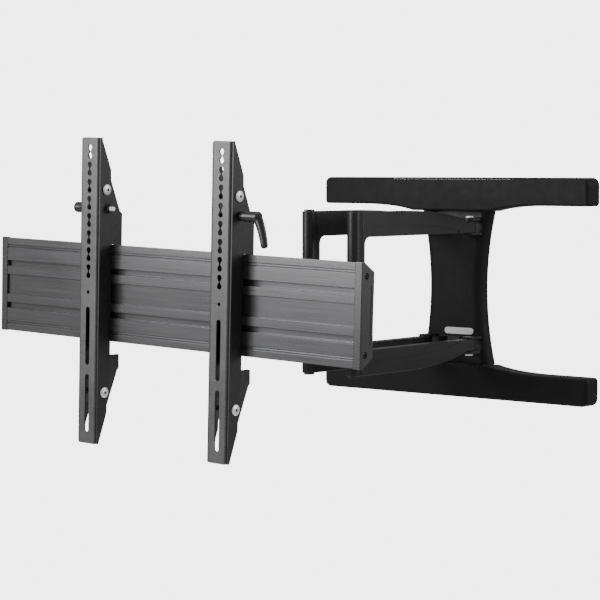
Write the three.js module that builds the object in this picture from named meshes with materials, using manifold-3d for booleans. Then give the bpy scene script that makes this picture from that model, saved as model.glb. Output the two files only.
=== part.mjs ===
// A full motion television wall mount, drawn out straight from the wall.
//
// Units are millimetres. +Z is up, the wall is the plane y = 0 and the mount reaches out along -Y.
// The origin is on the wall, in the middle of the wall plate. Every named mesh is one physical piece.

import * as THREE from 'three';
import { mergeVertices } from 'three/addons/utils/BufferGeometryUtils.js';
import Module from 'manifold-3d';

const wasm = await Module();
wasm.setup();

// ---------------------------------------------------------------- driving sizes

const gap = 0.4;                 // left between pieces that touch
const pinRadius = 5;             // every hinge pin
const boreRadius = pinRadius + 0.4;

// wall plate and its covers
const plate = {
  width: 544, height: 368.6, thickness: 3, inset: 3.6,
  barHeight: 46, flareDrop: 10, flareReach: 190, flareFoot: 80, columnNeck: 54.6, columnFoot: 70.8,
};
const cover = { depth: 34, round: 4, columnDepth: 26, columnRound: 18, wall: 3, back: 0.5 };

// arms
const wallHinge = 40;            // wall to the first hinge axes
const armLength = 308;           // between the axes of each arm
const armSpread = 45.3;          // hinge axes on each side of the middle
const armCentre = 4;             // height of the arms' middle above the plate's middle
const arm = {
  halfWidth: 10.5, barrel: 11, top: 128, inner: 88.4, hingeTop: 108, hingeRun: 17.7,
  taperStart: 190, postDepth: 15, corner: 14, knuckle: 42,
};

// head: yoke, swivel carriage and rail
const yoke = { plate: 7, lobe: 12.5, swivelOffset: 18, nose: 10, webHalf: 21 };
const headOffset = 36;           // last hinge axes to the back of the rail
const rail = { length: 707, height: 142.5, depth: 26, centre: 13, chamferDepth: 21, chamferDrop: 14 };
const cap = { thickness: 12, rim: 0.8 };
const railSlot = { height: 42, half: 4, depth: 8 };   // slots along the back of the rail
const roll = THREE.MathUtils.degToRad(1.6);           // the rail hangs a little lower at its right end

// brackets that carry the screen
const bracket = {
  faceWidth: 33.5, sheet: 2.5, centre: 16, standoff: 28,
  positions: { left: -136, right: 123 }, boltHeight: 149, boltDepth: 15.5,
  clampHeight: 121.5, clampDepth: 19, tilt: 4, leverReach: { left: 25, right: 35 },
};

// places that follow from the sizes above, as distances out from the wall
const elbowReach = wallHinge + armLength;
const headReach = elbowReach + armLength;
const railBack = headReach + headOffset;
const railFront = railBack + rail.depth;
const faceReach = railFront + bracket.standoff;

// ---------------------------------------------------------------- materials

function paint(colour, roughness, metalness) {
  return new THREE.MeshStandardMaterial({ color: colour, roughness, metalness });
}

const materials = {
  blackPlastic: paint(0x232327, 0.55, 0),
  blackPaint: paint(0x2a2a2e, 0.5, 0.25),
  greyPaint: paint(0x63666a, 0.45, 0.45),
  railGrey: paint(0x74777b, 0.4, 0.6),
  darkSteel: paint(0x3d3e41, 0.5, 0.5),
  zinc: paint(0xc9ccd0, 0.3, 0.95),
  badge: paint(0xd8d9da, 0.35, 0.1),
};

// ---------------------------------------------------------------- solids from three.js geometries

// Closed, welded solid of a geometry; triangles that shrink to a line at a pole are left out.
function solid(geometry) {
  const bare = new THREE.BufferGeometry();
  bare.setAttribute('position', geometry.getAttribute('position'));
  if (geometry.index) bare.setIndex(geometry.index);
  const welded = mergeVertices(bare, 1e-4);
  const corners = welded.index.array;
  const kept = [];
  for (let i = 0; i < corners.length; i += 3) {
    const [a, b, c] = corners.slice(i, i + 3);
    if (a !== b && b !== c && c !== a) kept.push(a, b, c);
  }
  return new wasm.Manifold(new wasm.Mesh({
    numProp: 3,
    vertProperties: new Float32Array(welded.getAttribute('position').array),
    triVerts: new Uint32Array(kept),
  }));
}

function geometryOf(body) {
  const mesh = body.getMesh();
  const geometry = new THREE.BufferGeometry();
  geometry.setAttribute('position', new THREE.BufferAttribute(mesh.vertProperties, 3));
  geometry.setIndex(new THREE.BufferAttribute(mesh.triVerts, 1));
  geometry.computeVertexNormals();
  return geometry;
}

function union(parts) {
  return parts.reduce((whole, part) => whole.add(part));
}

function cut(body, tools) {
  return tools.reduce((left, tool) => left.subtract(tool), body);
}

// Box between any two opposite corners.
function block(corner, opposite) {
  const size = corner.map((value, i) => Math.abs(value - opposite[i]));
  const middle = corner.map((value, i) => (value + opposite[i]) / 2);
  return solid(new THREE.BoxGeometry(...size).translate(...middle));
}

function extrude(shape, depth, options = {}) {
  return new THREE.ExtrudeGeometry(shape, { depth, bevelEnabled: false, curveSegments: 5, ...options });
}

// Shape drawn as (y, z), swept along X between two places.
function sweepX(shape, from, to) {
  const turn = new THREE.Matrix4().makeBasis(
    new THREE.Vector3(0, 1, 0), new THREE.Vector3(0, 0, 1), new THREE.Vector3(1, 0, 0),
  );
  return solid(extrude(shape, Math.abs(to - from)).applyMatrix4(turn).translate(Math.min(from, to), 0, 0));
}

// Shape drawn as (x, z), swept out from the wall from near to far.
function outward(shape, near, far, options) {
  const turn = new THREE.Matrix4().makeBasis(
    new THREE.Vector3(1, 0, 0), new THREE.Vector3(0, 0, 1), new THREE.Vector3(0, -1, 0),
  );
  return extrude(shape, far - near, options).applyMatrix4(turn).translate(0, -near, 0);
}

const sweepOut = (...sweep) => solid(outward(...sweep));

// Shape drawn as (x, y), swept upright between two heights.
function sweepUp(shape, from, to) {
  return solid(extrude(shape, Math.abs(to - from)).translate(0, 0, Math.min(from, to)));
}

// Turned piece: profile points are [radius, place along the axis], going along the outside.
function turned(profile, segments = 12) {
  return new THREE.LatheGeometry(profile.map(([r, along]) => new THREE.Vector2(r, along)), segments);
}

const alongX = (geometry, side = 1) => geometry.rotateZ(-side * Math.PI / 2);
const alongZ = (geometry) => geometry.rotateX(Math.PI / 2);

function rod(radius, low, high, segments = 14) {
  return turned([[0, low], [radius, low], [radius, high], [0, high]], segments);
}

function polygon(points) {
  return new THREE.Shape(points.map(([a, b]) => new THREE.Vector2(a, b)));
}

function circlePath(x, y, radius) {
  return new THREE.Path().absarc(x, y, radius, 0, 2 * Math.PI, false);
}

// Slot with round ends between two points, as a path for a hole or as a shape.
function slot(path, x1, y1, x2, y2, radius) {
  const along = Math.atan2(y2 - y1, x2 - x1);
  path.absarc(x2, y2, radius, along - Math.PI / 2, along + Math.PI / 2, false);
  path.absarc(x1, y1, radius, along + Math.PI / 2, along + 3 * Math.PI / 2, false);
  return path;
}

// ---------------------------------------------------------------- assembly

const mount = new THREE.Group();
mount.name = 'full_motion_tv_wall_mount';

// The rail and all that hangs on it are drawn level, in a group that is rolled about the rail's middle.
const rolledHead = new THREE.Group();
rolledHead.position.z = rail.centre;
rolledHead.rotation.y = roll;
const head = new THREE.Group();
head.position.z = -rail.centre;
rolledHead.add(head);
mount.add(rolledHead);

function place(name, piece, material, position = [0, 0, 0], parent = mount) {
  const geometry = piece.isBufferGeometry ? piece : geometryOf(piece);
  const mesh = new THREE.Mesh(geometry, material);
  mesh.name = name;
  mesh.position.set(...position);
  parent.add(mesh);
}

const sides = { left: -1, right: 1 };
const levels = { upper: 1, lower: -1 };

// ---------------------------------------------------------------- wall plate and covers

// One bar of the wall plate; level is 1 for the top bar and -1 for the bottom one.
function barShape(level, inset = 0) {
  const half = plate.width / 2 - inset;
  const outer = plate.height / 2 - inset;
  const inner = plate.height / 2 - plate.barHeight + inset;
  const foot = plate.flareFoot;
  const outerRound = 12;
  const innerRound = 6;
  const shape = new THREE.Shape();
  shape.moveTo(-half, level * (inner + innerRound));
  shape.quadraticCurveTo(-half, level * inner, -half + innerRound, level * inner);
  shape.lineTo(-plate.flareReach, level * inner);
  shape.quadraticCurveTo(-plate.flareReach * 0.62, level * inner, -foot, level * (inner - plate.flareDrop));
  shape.lineTo(foot, level * (inner - plate.flareDrop));
  shape.quadraticCurveTo(plate.flareReach * 0.62, level * inner, plate.flareReach, level * inner);
  shape.lineTo(half - innerRound, level * inner);
  shape.quadraticCurveTo(half, level * inner, half, level * (inner + innerRound));
  shape.lineTo(half, level * (outer - outerRound));
  shape.quadraticCurveTo(half, level * outer, half - outerRound, level * outer);
  shape.lineTo(-half + outerRound, level * outer);
  shape.quadraticCurveTo(-half, level * outer, -half, level * (outer - outerRound));
  return shape;
}

const flareEdge = plate.height / 2 - plate.barHeight - plate.flareDrop;

// The waisted column between the bars, reaching up and down to plus and minus top.
function columnShape(top, inset = 0) {
  const foot = plate.columnNeck + (plate.columnFoot - plate.columnNeck) * (top / flareEdge) ** 2 - inset;
  const waist = 2 * (plate.columnNeck - inset) - foot;
  const shape = new THREE.Shape();
  shape.moveTo(-foot, -top);
  shape.lineTo(foot, -top);
  shape.quadraticCurveTo(waist, 0, foot, top);
  shape.lineTo(-foot, top);
  shape.quadraticCurveTo(-waist, 0, -foot, -top);
  return shape;
}

function wallPlate() {
  const parts = [sweepOut(columnShape(flareEdge + 20, plate.inset), 0, plate.thickness)];
  for (const level of Object.values(levels)) {
    const bar = barShape(level, plate.inset);
    const height = level * (plate.height - plate.barHeight) / 2;
    for (const x of [-222, -148, 148, 222]) {
      bar.holes.push(slot(new THREE.Path(), x - 14, height, x + 14, height, 4.5));
    }
    bar.holes.push(circlePath(0, height, 6));
    parts.push(sweepOut(bar, 0, plate.thickness));
  }
  return union(parts);
}

// Shape swept out to a depth, with a rounded front edge; it starts behind the wall.
function cushion(shape, depth, round, bevelSegments) {
  const behind = 20;
  return sweepOut(shape, -behind, depth - round, {
    bevelEnabled: true, bevelThickness: round, bevelSize: round, bevelOffset: -round, bevelSegments,
  });
}

// Hollow cover, open at the wall, with a rounded front edge.
function shell(outerShape, innerShape, depth, round, steps = 2) {
  const reach = 2 * plate.width;
  const skin = cushion(outerShape, depth, round, steps);
  const room = cushion(innerShape, depth - cover.wall, round - cover.wall, steps);
  const behind = block([-reach, -cover.back, -reach], [reach, 60, reach]);
  return cut(skin, [room, behind]);
}

// Cover of one bar, cut back where the column of the wall plate runs in under its edge.
function barCover(level) {
  const whole = shell(barShape(level), barShape(level, cover.wall), cover.depth, cover.round);
  const passage = block(
    [-plate.columnFoot - 1, 5, level * (flareEdge - 5)],
    [plate.columnFoot + 1, -plate.thickness - gap, level * (flareEdge + cover.wall + 2)],
  );
  return cut(whole, [passage]);
}

const hingeBracket = { half: 56.3, back: 6, lug: 5, innerLug: 3, earHalf: 15, ledge: 22 };

// Column cover, open to the bars and cut away where the hinge brackets stand on the wall plate.
function columnCover() {
  const top = flareEdge - gap;
  const beyond = top + cover.columnRound + 2;
  const body = shell(columnShape(beyond), columnShape(beyond, cover.wall), cover.columnDepth, cover.columnRound, 4);
  const ends = Object.values(levels).map((level) => block([-100, -60, level * top], [100, 5, level * (beyond + 30)]));
  const windows = Object.values(levels).map((level) => block(
    [-hingeBracket.half - 1, -60, armCentre + level * (arm.inner - hingeBracket.innerLug - 2 * gap)],
    [hingeBracket.half + 1, 5, level * (top + 5)],
  ));
  return cut(body, [...ends, ...windows]);
}

// C-shaped steel bracket whose two lugs end in an ear round each pin.
function wallHingeBracket(level) {
  const inside = arm.inner - gap;
  const outside = arm.hingeTop + gap;
  const low = inside - hingeBracket.innerLug;
  const high = outside + hingeBracket.lug;
  const near = -plate.thickness - gap;
  const far = -wallHinge - 20;
  const profile = polygon([
    [near, low], [far, low], [far, inside], [near - hingeBracket.back, inside],
    [near - hingeBracket.back, outside], [far, outside], [far, high], [near, high],
  ].map(([y, z]) => [y, level * z]));
  const ear = hingeBracket.half - armSpread;
  const outline = new THREE.Shape();
  outline.moveTo(-hingeBracket.half, 0);
  outline.lineTo(-hingeBracket.half, -hingeBracket.ledge);
  outline.absarc(-armSpread, -wallHinge, ear, Math.PI, 2 * Math.PI, false);
  outline.lineTo(-armSpread + hingeBracket.earHalf, -hingeBracket.ledge);
  outline.lineTo(armSpread - hingeBracket.earHalf, -hingeBracket.ledge);
  outline.absarc(armSpread, -wallHinge, ear, Math.PI, 2 * Math.PI, false);
  outline.lineTo(hingeBracket.half, 0);
  const body = sweepX(profile, -hingeBracket.half, hingeBracket.half)
    .intersect(sweepUp(outline, -200, 200));
  const web = block([-12, -hingeBracket.ledge, level * (inside - 1)], [12, near - 1, level * (outside + 1)]);
  const bores = Object.values(sides).map((side) =>
    solid(alongZ(rod(boreRadius, -200, 200)).translate(side * armSpread, -wallHinge, 0)));
  return cut(body.add(web), bores);
}

// Pin with one flat head, standing on the Z axis; its plain end ends inside the lug.
function wallPin(end, seat) {
  return alongZ(turned([
    [0, end], [pinRadius - 0.5, end], [pinRadius, end + 0.5], [pinRadius, seat],
    [7, seat], [7, seat + 1.5], [6, seat + 2.5], [0, seat + 2.5],
  ]));
}

// Pin with a flat head at each end, standing on the Z axis between low and high.
function headedPin(low, high, headRadius, headHeight) {
  return alongZ(turned([
    [0, low - headHeight], [headRadius - 1, low - headHeight], [headRadius, low - headHeight + 1], [headRadius, low],
    [pinRadius, low], [pinRadius, high],
    [headRadius, high], [headRadius, high + headHeight - 1], [headRadius - 1, high + headHeight], [0, high + headHeight],
  ]));
}

place('wall_plate', wallPlate(), materials.darkSteel);
place('top_bar_cover', barCover(1), materials.blackPlastic);
place('bottom_bar_cover', barCover(-1), materials.blackPlastic);
place('column_cover', columnCover(), materials.blackPlastic);
place(
  'column_badge',
  sweepOut(slot(new THREE.Shape(), -9, -73, 39, -73, 5.5), cover.columnDepth + gap, cover.columnDepth + 1.4),
  materials.badge,
);

for (const [levelName, level] of Object.entries(levels)) {
  place(`${levelName}_hinge_bracket`, wallHingeBracket(level), materials.darkSteel, [0, 0, armCentre]);
  for (const [sideName, side] of Object.entries(sides)) {
    const seat = arm.hingeTop + gap + hingeBracket.lug + gap;
    const pin = wallPin(arm.inner - gap - hingeBracket.innerLug + 0.5, seat);
    place(
      `${sideName}_${levelName}_wall_pin`,
      level > 0 ? pin : pin.rotateX(Math.PI),
      materials.zinc,
      [side * armSpread, -wallHinge, armCentre],
    );
  }
}

// ---------------------------------------------------------------- arms

// Plan of a first arm: round at the wall hinge, a grooved barrel at the elbow.
function firstArmPlan() {
  const half = arm.halfWidth;
  const shape = new THREE.Shape();
  shape.absarc(0, 0, half, 0, Math.PI, false);
  shape.lineTo(-half, -armLength + 9);
  shape.lineTo(-half + 2.3, -armLength + 6.5);
  const start = Math.asin(4 / arm.barrel);
  shape.absarc(0, -armLength, arm.barrel, Math.PI - start, 2 * Math.PI + start, false);
  shape.lineTo(half - 2.3, -armLength + 6.5);
  shape.lineTo(half, -armLength + 9);
  return shape;
}

// One casting of a first arm: a beam that narrows to the wall hinge, with a post at the elbow.
function armCasting(level) {
  const post = -armLength + arm.postDepth;
  const profile = new THREE.Shape();
  profile.moveTo(15, level * arm.inner);
  profile.lineTo(15, level * arm.hingeTop);
  profile.lineTo(-arm.hingeRun, level * arm.hingeTop);
  profile.quadraticCurveTo(-arm.taperStart * 0.42, level * arm.top, -arm.taperStart, level * arm.top);
  profile.lineTo(-armLength - 15, level * arm.top);
  profile.lineTo(-armLength - 15, level * (arm.knuckle + gap));
  profile.lineTo(post, level * (arm.knuckle + gap));
  profile.lineTo(post, level * (arm.inner - arm.corner));
  profile.quadraticCurveTo(post, level * arm.inner, post + arm.corner, level * arm.inner);
  const body = sweepX(profile, -20, 20).intersect(sweepUp(firstArmPlan(), -150, 150));
  const step = 1.2;
  const recesses = Object.values(sides).map((side) => block(
    [side * (arm.halfWidth - step), post + 10, level * (arm.inner - 1)],
    [side * (arm.halfWidth + 5), -40, level * (arm.inner + 18)],
  ));
  const bores = [0, -armLength].map((y) => solid(alongZ(rod(boreRadius, -150, 150)).translate(0, y, 0)));
  return cut(body, [...recesses, ...bores]);
}

// Second arm: a ribbed beam with a round end on each axis.
function secondArm() {
  const half = arm.halfWidth;
  const plan = slot(new THREE.Shape(), 0, 0, 0, -armLength, half);
  const body = sweepUp(plan, -arm.knuckle, arm.knuckle);
  const pocketStarts = [-32, -114, -196];
  const pocketLength = 80;
  const pockets = [];
  for (const side of Object.values(sides)) {
    for (const start of pocketStarts) {
      pockets.push(block(
        [side * 5, start - pocketLength, -arm.knuckle + 9],
        [side * (half + 5), start, arm.knuckle - 9],
      ));
    }
  }
  const bores = [0, -armLength].map((y) => solid(alongZ(rod(boreRadius, -60, 60)).translate(0, y, 0)));
  return cut(body, [...pockets, ...bores]);
}

for (const [sideName, side] of Object.entries(sides)) {
  const shoulder = [side * armSpread, -wallHinge, armCentre];
  const elbow = [side * armSpread, -elbowReach, armCentre];
  for (const [levelName, level] of Object.entries(levels)) {
    place(`${sideName}_arm_${levelName}_casting`, armCasting(level), materials.blackPaint, shoulder);
  }
  place(`${sideName}_elbow_pin`, headedPin(-arm.top - gap, arm.top + gap, 8.5, 2.2), materials.blackPaint, elbow);
  place(`${sideName}_outer_arm`, secondArm(), materials.blackPaint, elbow);
}

// ---------------------------------------------------------------- yoke and swivel carriage

// Two plates on a short post: they hold the ends of the outer arms and, in front, the swivel pin.
function headYoke() {
  const plan = new THREE.Shape();
  const nose = Math.PI / 9;
  plan.absarc(armSpread, 0, yoke.lobe, -Math.PI / 2, Math.PI / 2, false);
  plan.absarc(-armSpread, 0, yoke.lobe, Math.PI / 2, 1.5 * Math.PI, false);
  plan.absarc(0, -yoke.swivelOffset, yoke.nose, Math.PI + nose, 2 * Math.PI - nose, false);
  const inner = arm.knuckle + gap;
  const plates = Object.values(levels).map((level) =>
    sweepUp(plan, level * inner, level * (inner + yoke.plate)));
  const post = block([-yoke.webHalf, -8, -inner - 1], [yoke.webHalf, 8.5, inner + 1]);
  const bores = [[-armSpread, 0], [armSpread, 0], [0, -yoke.swivelOffset]].map(([x, y]) =>
    solid(alongZ(rod(boreRadius, -80, 80)).translate(x, y, 0)));
  return cut(union([...plates, post]), bores);
}

const carriage = { half: 45, halfHeight: 52, thickness: 5.6, boltX: 34 };

// Plate on the back of the rail with the barrel that turns on the swivel pin.
function swivelCarriage() {
  const back = headOffset - gap;
  const barrel = solid(alongZ(rod(9, -arm.knuckle, arm.knuckle)).translate(0, -yoke.swivelOffset, 0));
  const neck = block([-6, -back + 1, -arm.knuckle], [6, -yoke.swivelOffset, arm.knuckle]);
  const lift = rail.centre - armCentre;
  const outline = new THREE.Shape();
  const round = 8;
  const [x, top, bottom] = [carriage.half, lift + carriage.halfHeight, lift - carriage.halfHeight];
  outline.absarc(x - round, top - round, round, 0, Math.PI / 2, false);
  outline.absarc(-x + round, top - round, round, Math.PI / 2, Math.PI, false);
  outline.absarc(-x + round, bottom + round, round, Math.PI, 1.5 * Math.PI, false);
  outline.absarc(x - round, bottom + round, round, 1.5 * Math.PI, 2 * Math.PI, false);
  for (const side of Object.values(sides)) {
    for (const level of Object.values(levels)) {
      outline.holes.push(circlePath(side * carriage.boltX, lift + level * railSlot.height, 3.4));
    }
  }
  const sheet = solid(outward(outline, back - carriage.thickness, back)
    .translate(0, 0, -lift).rotateY(roll).translate(0, 0, lift));
  const bore = solid(alongZ(rod(boreRadius, -80, 80)).translate(0, -yoke.swivelOffset, 0));
  return cut(union([barrel, neck, sheet]), [bore]);
}

// Bolt that points out from the wall: six-sided head behind the plate, shank in the rail's slot.
function carriageBolt() {
  const head = turned([[0, gap], [6.4, gap], [6.4, 3.2], [5.6, 4], [0, 4]], 6);
  const shank = rod(3, -carriage.thickness - railSlot.depth + 1.5, 1, 12);
  return union([solid(head), solid(shank)]);
}

const headPlace = [0, -headReach, armCentre];
place('head_yoke', headYoke(), materials.darkSteel, headPlace);
const pinEnd = arm.knuckle + gap + yoke.plate + gap;
for (const [sideName, side] of Object.entries(sides)) {
  place(
    `${sideName}_head_pin`, headedPin(-pinEnd, pinEnd, 8, 2.5), materials.zinc,
    [side * armSpread, -headReach, armCentre],
  );
}
place(
  'swivel_pin', headedPin(-pinEnd, pinEnd, 8, 2.5), materials.zinc,
  [0, -headReach - yoke.swivelOffset, armCentre],
);
place('swivel_carriage', swivelCarriage(), materials.darkSteel, headPlace);

// ---------------------------------------------------------------- rail and end caps

// Section of the rail as [depth behind its front, height], upper half from the middle upwards.
function railHalfSection() {
  const top = rail.height / 2;
  const back = top - rail.chamferDrop;
  const front = rail.depth - rail.chamferDepth;
  return [
    [3.5, 0], [3.5, 15.1], [0, 15.1], [0, 27.8], [6, 27.8], [6, 36.5], [0, 36.5],
    [0, 56.2], [1.2, 56.2], [1.2, 57.4], [0, 57.4], [0, 59.4], [1.2, 59.4], [1.2, 60.6], [0, 60.6],
    [0, top], [front, top], [rail.depth, back],
    [rail.depth, railSlot.height + railSlot.half], [rail.depth - railSlot.depth, railSlot.height + railSlot.half],
    [rail.depth - railSlot.depth, railSlot.height - railSlot.half], [rail.depth, railSlot.height - railSlot.half],
    [rail.depth, 0],
  ];
}

function mirrored(half) {
  const lower = half.slice(1, -1).reverse().map(([depth, height]) => [depth, -height]);
  return [...half.slice(1, -1), ...lower];
}

const depthToY = ([depth, height]) => [-railFront + depth, rail.centre + height];

function railExtrusion() {
  const half = rail.length / 2 - cap.thickness - gap;
  const body = sweepX(polygon(mirrored(railHalfSection()).map(depthToY)), -half, half);
  const chambers = [[6.5, 22.5, -24, 24]];
  for (const level of Object.values(levels)) {
    chambers.push([9, 22.5, level * 27, level * 34.5], [4, 15.5, level * 41, level * 62]);
  }
  return cut(body, chambers.map(([near, far, low, high]) => block(
    [-rail.length, ...depthToY([near, low])],
    [rail.length, ...depthToY([far, high])],
  )));
}

const capScrew = { depth: 9.5, height: 53, head: 3.9, sink: 4.6 };

// End cap: the rail's outline with a rim, and a sunk hole for each screw.
function endCap(side) {
  const top = rail.height / 2 + cap.rim;
  const [front, back] = [-cap.rim, rail.depth + cap.rim];
  const slope = top - rail.chamferDrop;
  const bend = rail.depth - rail.chamferDepth;
  const outline = polygon([
    [front, -top], [bend, -top], [back, -slope], [back, slope], [bend, top], [front, top],
  ].map(depthToY));
  const end = rail.length / 2;
  const body = sweepX(outline, side * (end - cap.thickness), side * end);
  const holes = Object.values(levels).flatMap((level) => {
    const [y, z] = depthToY([capScrew.depth, level * capScrew.height]);
    return [
      solid(alongX(rod(2, end - 40, end + 5, 10), side).translate(0, y, z)),
      solid(alongX(rod(capScrew.sink, end - 3.4, end + 5), side).translate(0, y, z)),
    ];
  });
  return cut(body, holes);
}

// Countersunk-style cap screw with a socket, drawn at the end of the rail.
function railEndScrew(side, level) {
  const end = rail.length / 2;
  const [y, z] = depthToY([capScrew.depth, level * capScrew.height]);
  const profile = [
    [0, end - 30], [1.6, end - 30], [1.6, end - 3], [capScrew.head, end - 3], [capScrew.head, end - 1.2],
    [capScrew.head - 0.8, end - 0.5], [1.7, end - 0.5], [1.7, end - 2], [0, end - 2],
  ];
  return alongX(turned(profile), side).translate(0, y, z);
}

place('rail', railExtrusion(), materials.railGrey, undefined, head);
for (const [sideName, side] of Object.entries(sides)) {
  place(`${sideName}_end_cap`, endCap(side), materials.railGrey, undefined, head);
  for (const [levelName, level] of Object.entries(levels)) {
    place(`${sideName}_${levelName}_cap_screw`, railEndScrew(side, level), materials.darkSteel, undefined, head);
    place(
      `${sideName}_${levelName}_carriage_bolt`,
      carriageBolt(),
      materials.zinc,
      [side * carriage.boltX, -railBack + gap + carriage.thickness, rail.centre + level * railSlot.height],
      head,
    );
  }
}

// ---------------------------------------------------------------- brackets

// Everything on a bracket is drawn as [depth behind its face, height from its middle].
const behindFace = ([depth, height]) => [-faceReach + depth, bracket.centre + height];

const boltRadius = 4;
const clampRadius = 3.3;
const outerHalf = bracket.faceWidth / 2 + gap + bracket.sheet;

// Hook bracket: two side plates notched over the rail, tied by a web that lies on the rail's face.
function hookBracket() {
  const face = bracket.standoff - gap;
  const railTop = rail.centre + rail.height / 2 - bracket.centre + gap;
  const flat = bracket.standoff + rail.depth - rail.chamferDepth;
  const back = 49;
  const slope = rail.chamferDrop / rail.chamferDepth;
  const outline = polygon([
    [3, 223.5], [6, 223.5], [25, 178], [25.3, 163], [44.5, 117], [back, 114.5],
    [back, railTop - (back - flat) * slope], [flat, railTop], [face, railTop], [face, -94], [46, -94],
    [46.5, -115], [43.5, -117], [22.5, -168], [22.2, -180], [6, -225], [3, -225],
  ].map(behindFace));
  const holes = [
    [bracket.boltDepth, bracket.boltHeight, boltRadius + 0.3],
    [bracket.boltDepth, -bracket.boltHeight, boltRadius + 0.3],
    [bracket.clampDepth, bracket.clampHeight, clampRadius + 0.3],
  ];
  for (const [depth, height, radius] of holes) {
    outline.holes.push(circlePath(...behindFace([depth, height]), radius));
  }
  const inner = outerHalf - bracket.sheet;
  const web = polygon([
    [face - bracket.sheet, -88], [face, -88], [face, railTop - 2], [face - bracket.sheet, railTop - 2],
  ].map(behindFace));
  return union([
    sweepX(outline, -outerHalf, -inner),
    sweepX(outline, inner, outerHalf),
    sweepX(web, -inner - 1, inner + 1),
  ]);
}

// Two round holes joined by a thin slit, as a path for a hole; places are heights on the face.
function holePair(upper, lower, radius, slit) {
  const open = Math.asin(slit / radius);
  const path = new THREE.Path();
  path.absarc(0, upper, radius, -Math.PI / 2 + open, 1.5 * Math.PI - open, false);
  path.absarc(0, lower, radius, Math.PI / 2 + open, 2.5 * Math.PI - open, false);
  return path;
}

// Screen channel: the long face with its holes, two lips, and ears for the pivot and for the clamp.
function screenChannel() {
  const half = bracket.faceWidth / 2;
  const middle = bracket.centre;
  const face = polygon([[-half, -225], [half, -225], [half, 225], [-half, 225]].map(([x, z]) => [x, z + middle]));
  const pitch = 12.5;
  const firstHole = 210.5;
  for (let pair = 0; pair < 8; pair += 1) {
    const height = middle + firstHole - 2 * pair * pitch;
    face.holes.push(holePair(height, height - pitch, 4.1, 1));
  }
  face.holes.push(circlePath(0, middle - 1.5, 2.6));
  for (const [top, bottom] of [[-27, -105], [-126, -204]]) {
    face.holes.push(slot(new THREE.Path(), 0, middle + bottom, 0, middle + top, 4));
  }
  const front = sweepOut(face, faceReach - bracket.sheet, faceReach, { curveSegments: 4 });
  const inner = half - bracket.sheet;
  const lip = [[1, -225], [10, -225], [10, 225], [1, 225]];
  const pivotEar = polygon([[1, -166], [18, -166], [23, -158], [23, -140], [18, -132], [1, -132]].map(behindFace));
  const clampEar = polygon([[1, 102], [43.6, 102], [43.6, 119], [37, 134.5], [1, 139.5]].map(behindFace));
  pivotEar.holes.push(circlePath(...behindFace([bracket.boltDepth, -bracket.boltHeight]), boltRadius + 0.3));
  const start = [bracket.clampDepth - bracket.boltDepth, bracket.clampHeight + bracket.boltHeight];
  const turn = THREE.MathUtils.degToRad(bracket.tilt);
  const end = [
    bracket.boltDepth + start[0] * Math.cos(turn) + start[1] * Math.sin(turn),
    -bracket.boltHeight + start[1] * Math.cos(turn) - start[0] * Math.sin(turn),
  ];
  clampEar.holes.push(slot(
    new THREE.Path(),
    ...behindFace([bracket.clampDepth, bracket.clampHeight]), ...behindFace(end),
    clampRadius + 0.5,
  ));
  const flanges = Object.values(sides).flatMap((side) =>
    [polygon(lip.map(behindFace)), pivotEar, clampEar].map((shape) => sweepX(shape, side * inner, side * half)));
  return union([front, ...flanges]);
}

// Bright bolt through both side plates: a domed head with a socket, and a domed nut.
function bracketBolt() {
  const seat = outerHalf + gap;
  const head = 7.7;
  return alongX(turned([
    [0, -seat - 5], [3, -seat - 4.6], [6, -seat - 3], [6.6, -seat], [boltRadius, -seat],
    [boltRadius, seat], [head, seat], [head, seat + 1.6], [5.6, seat + 3.4], [2.6, seat + 4],
    [2.2, seat + 2], [0, seat + 2],
  ]));
}

// Threaded rod of the clamp: it ends inside the lever's hub at one side and sticks out of the nut at the other.
function clampBolt(side) {
  const seat = outerHalf + gap;
  return alongX(turned([
    [0, -seat - 12], [clampRadius - 0.6, -seat - 12], [clampRadius, -seat - 11.4], [clampRadius, seat + 14],
    [0, seat + 14],
  ]), side);
}

// Six-sided nut with a flange against the plate.
function clampNut(side) {
  const seat = outerHalf + gap;
  const bore = clampRadius + 0.3;
  const nut = turned([[bore, -seat - 5], [6.4, -seat - 5], [6.4, -seat - 1], [bore, -seat - 1], [bore, -seat - 5]], 6);
  const flange = turned([[bore, -seat - 1.4], [7.4, -seat - 1.4], [7.4, -seat], [bore, -seat], [bore, -seat - 1.4]]);
  const hole = solid(alongX(rod(bore, -seat - 6, -seat + 1), side));
  return cut(union([solid(alongX(nut, side)), solid(alongX(flange, side))]), [hole]);
}

// Clamp lever: a hub over the end of the rod, and a handle that leans away from the plate.
// The right handle hangs down and the left one points back to the wall.
function clampLever(side, reach) {
  const foot = outerHalf + 2 * gap;
  const end = foot + reach;
  const hub = solid(alongX(turned([
    [0, foot + 15], [clampRadius + 0.4, foot + 15], [clampRadius + 0.4, foot], [6.6, foot], [6.6, foot + 7],
    [7.2, foot + 7], [7, end - 11], [8, end - 9], [8, end - 3], [6.4, end - 0.5], [0, end],
  ]), side));
  const handle = new THREE.Shape();
  handle.moveTo(side * (end - 9), 4);
  handle.lineTo(side * (end - 1), 5);
  handle.quadraticCurveTo(side * (end + 13), -16, side * (end + 15.5), -38);
  handle.quadraticCurveTo(side * (end + 13), -46, side * (end + 5), -42);
  handle.quadraticCurveTo(side * (end - 1), -20, side * (end - 9), -5);
  const grip = sweepX(polygon([[-4.6, -60], [4.6, -60], [6.4, 10], [-6.4, 10]]), -90, 90)
    .intersect(sweepOut(handle, -20, 20));
  const lever = geometryOf(union([hub, grip]));
  return side > 0 ? lever : lever.rotateX(Math.PI / 2);
}

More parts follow.
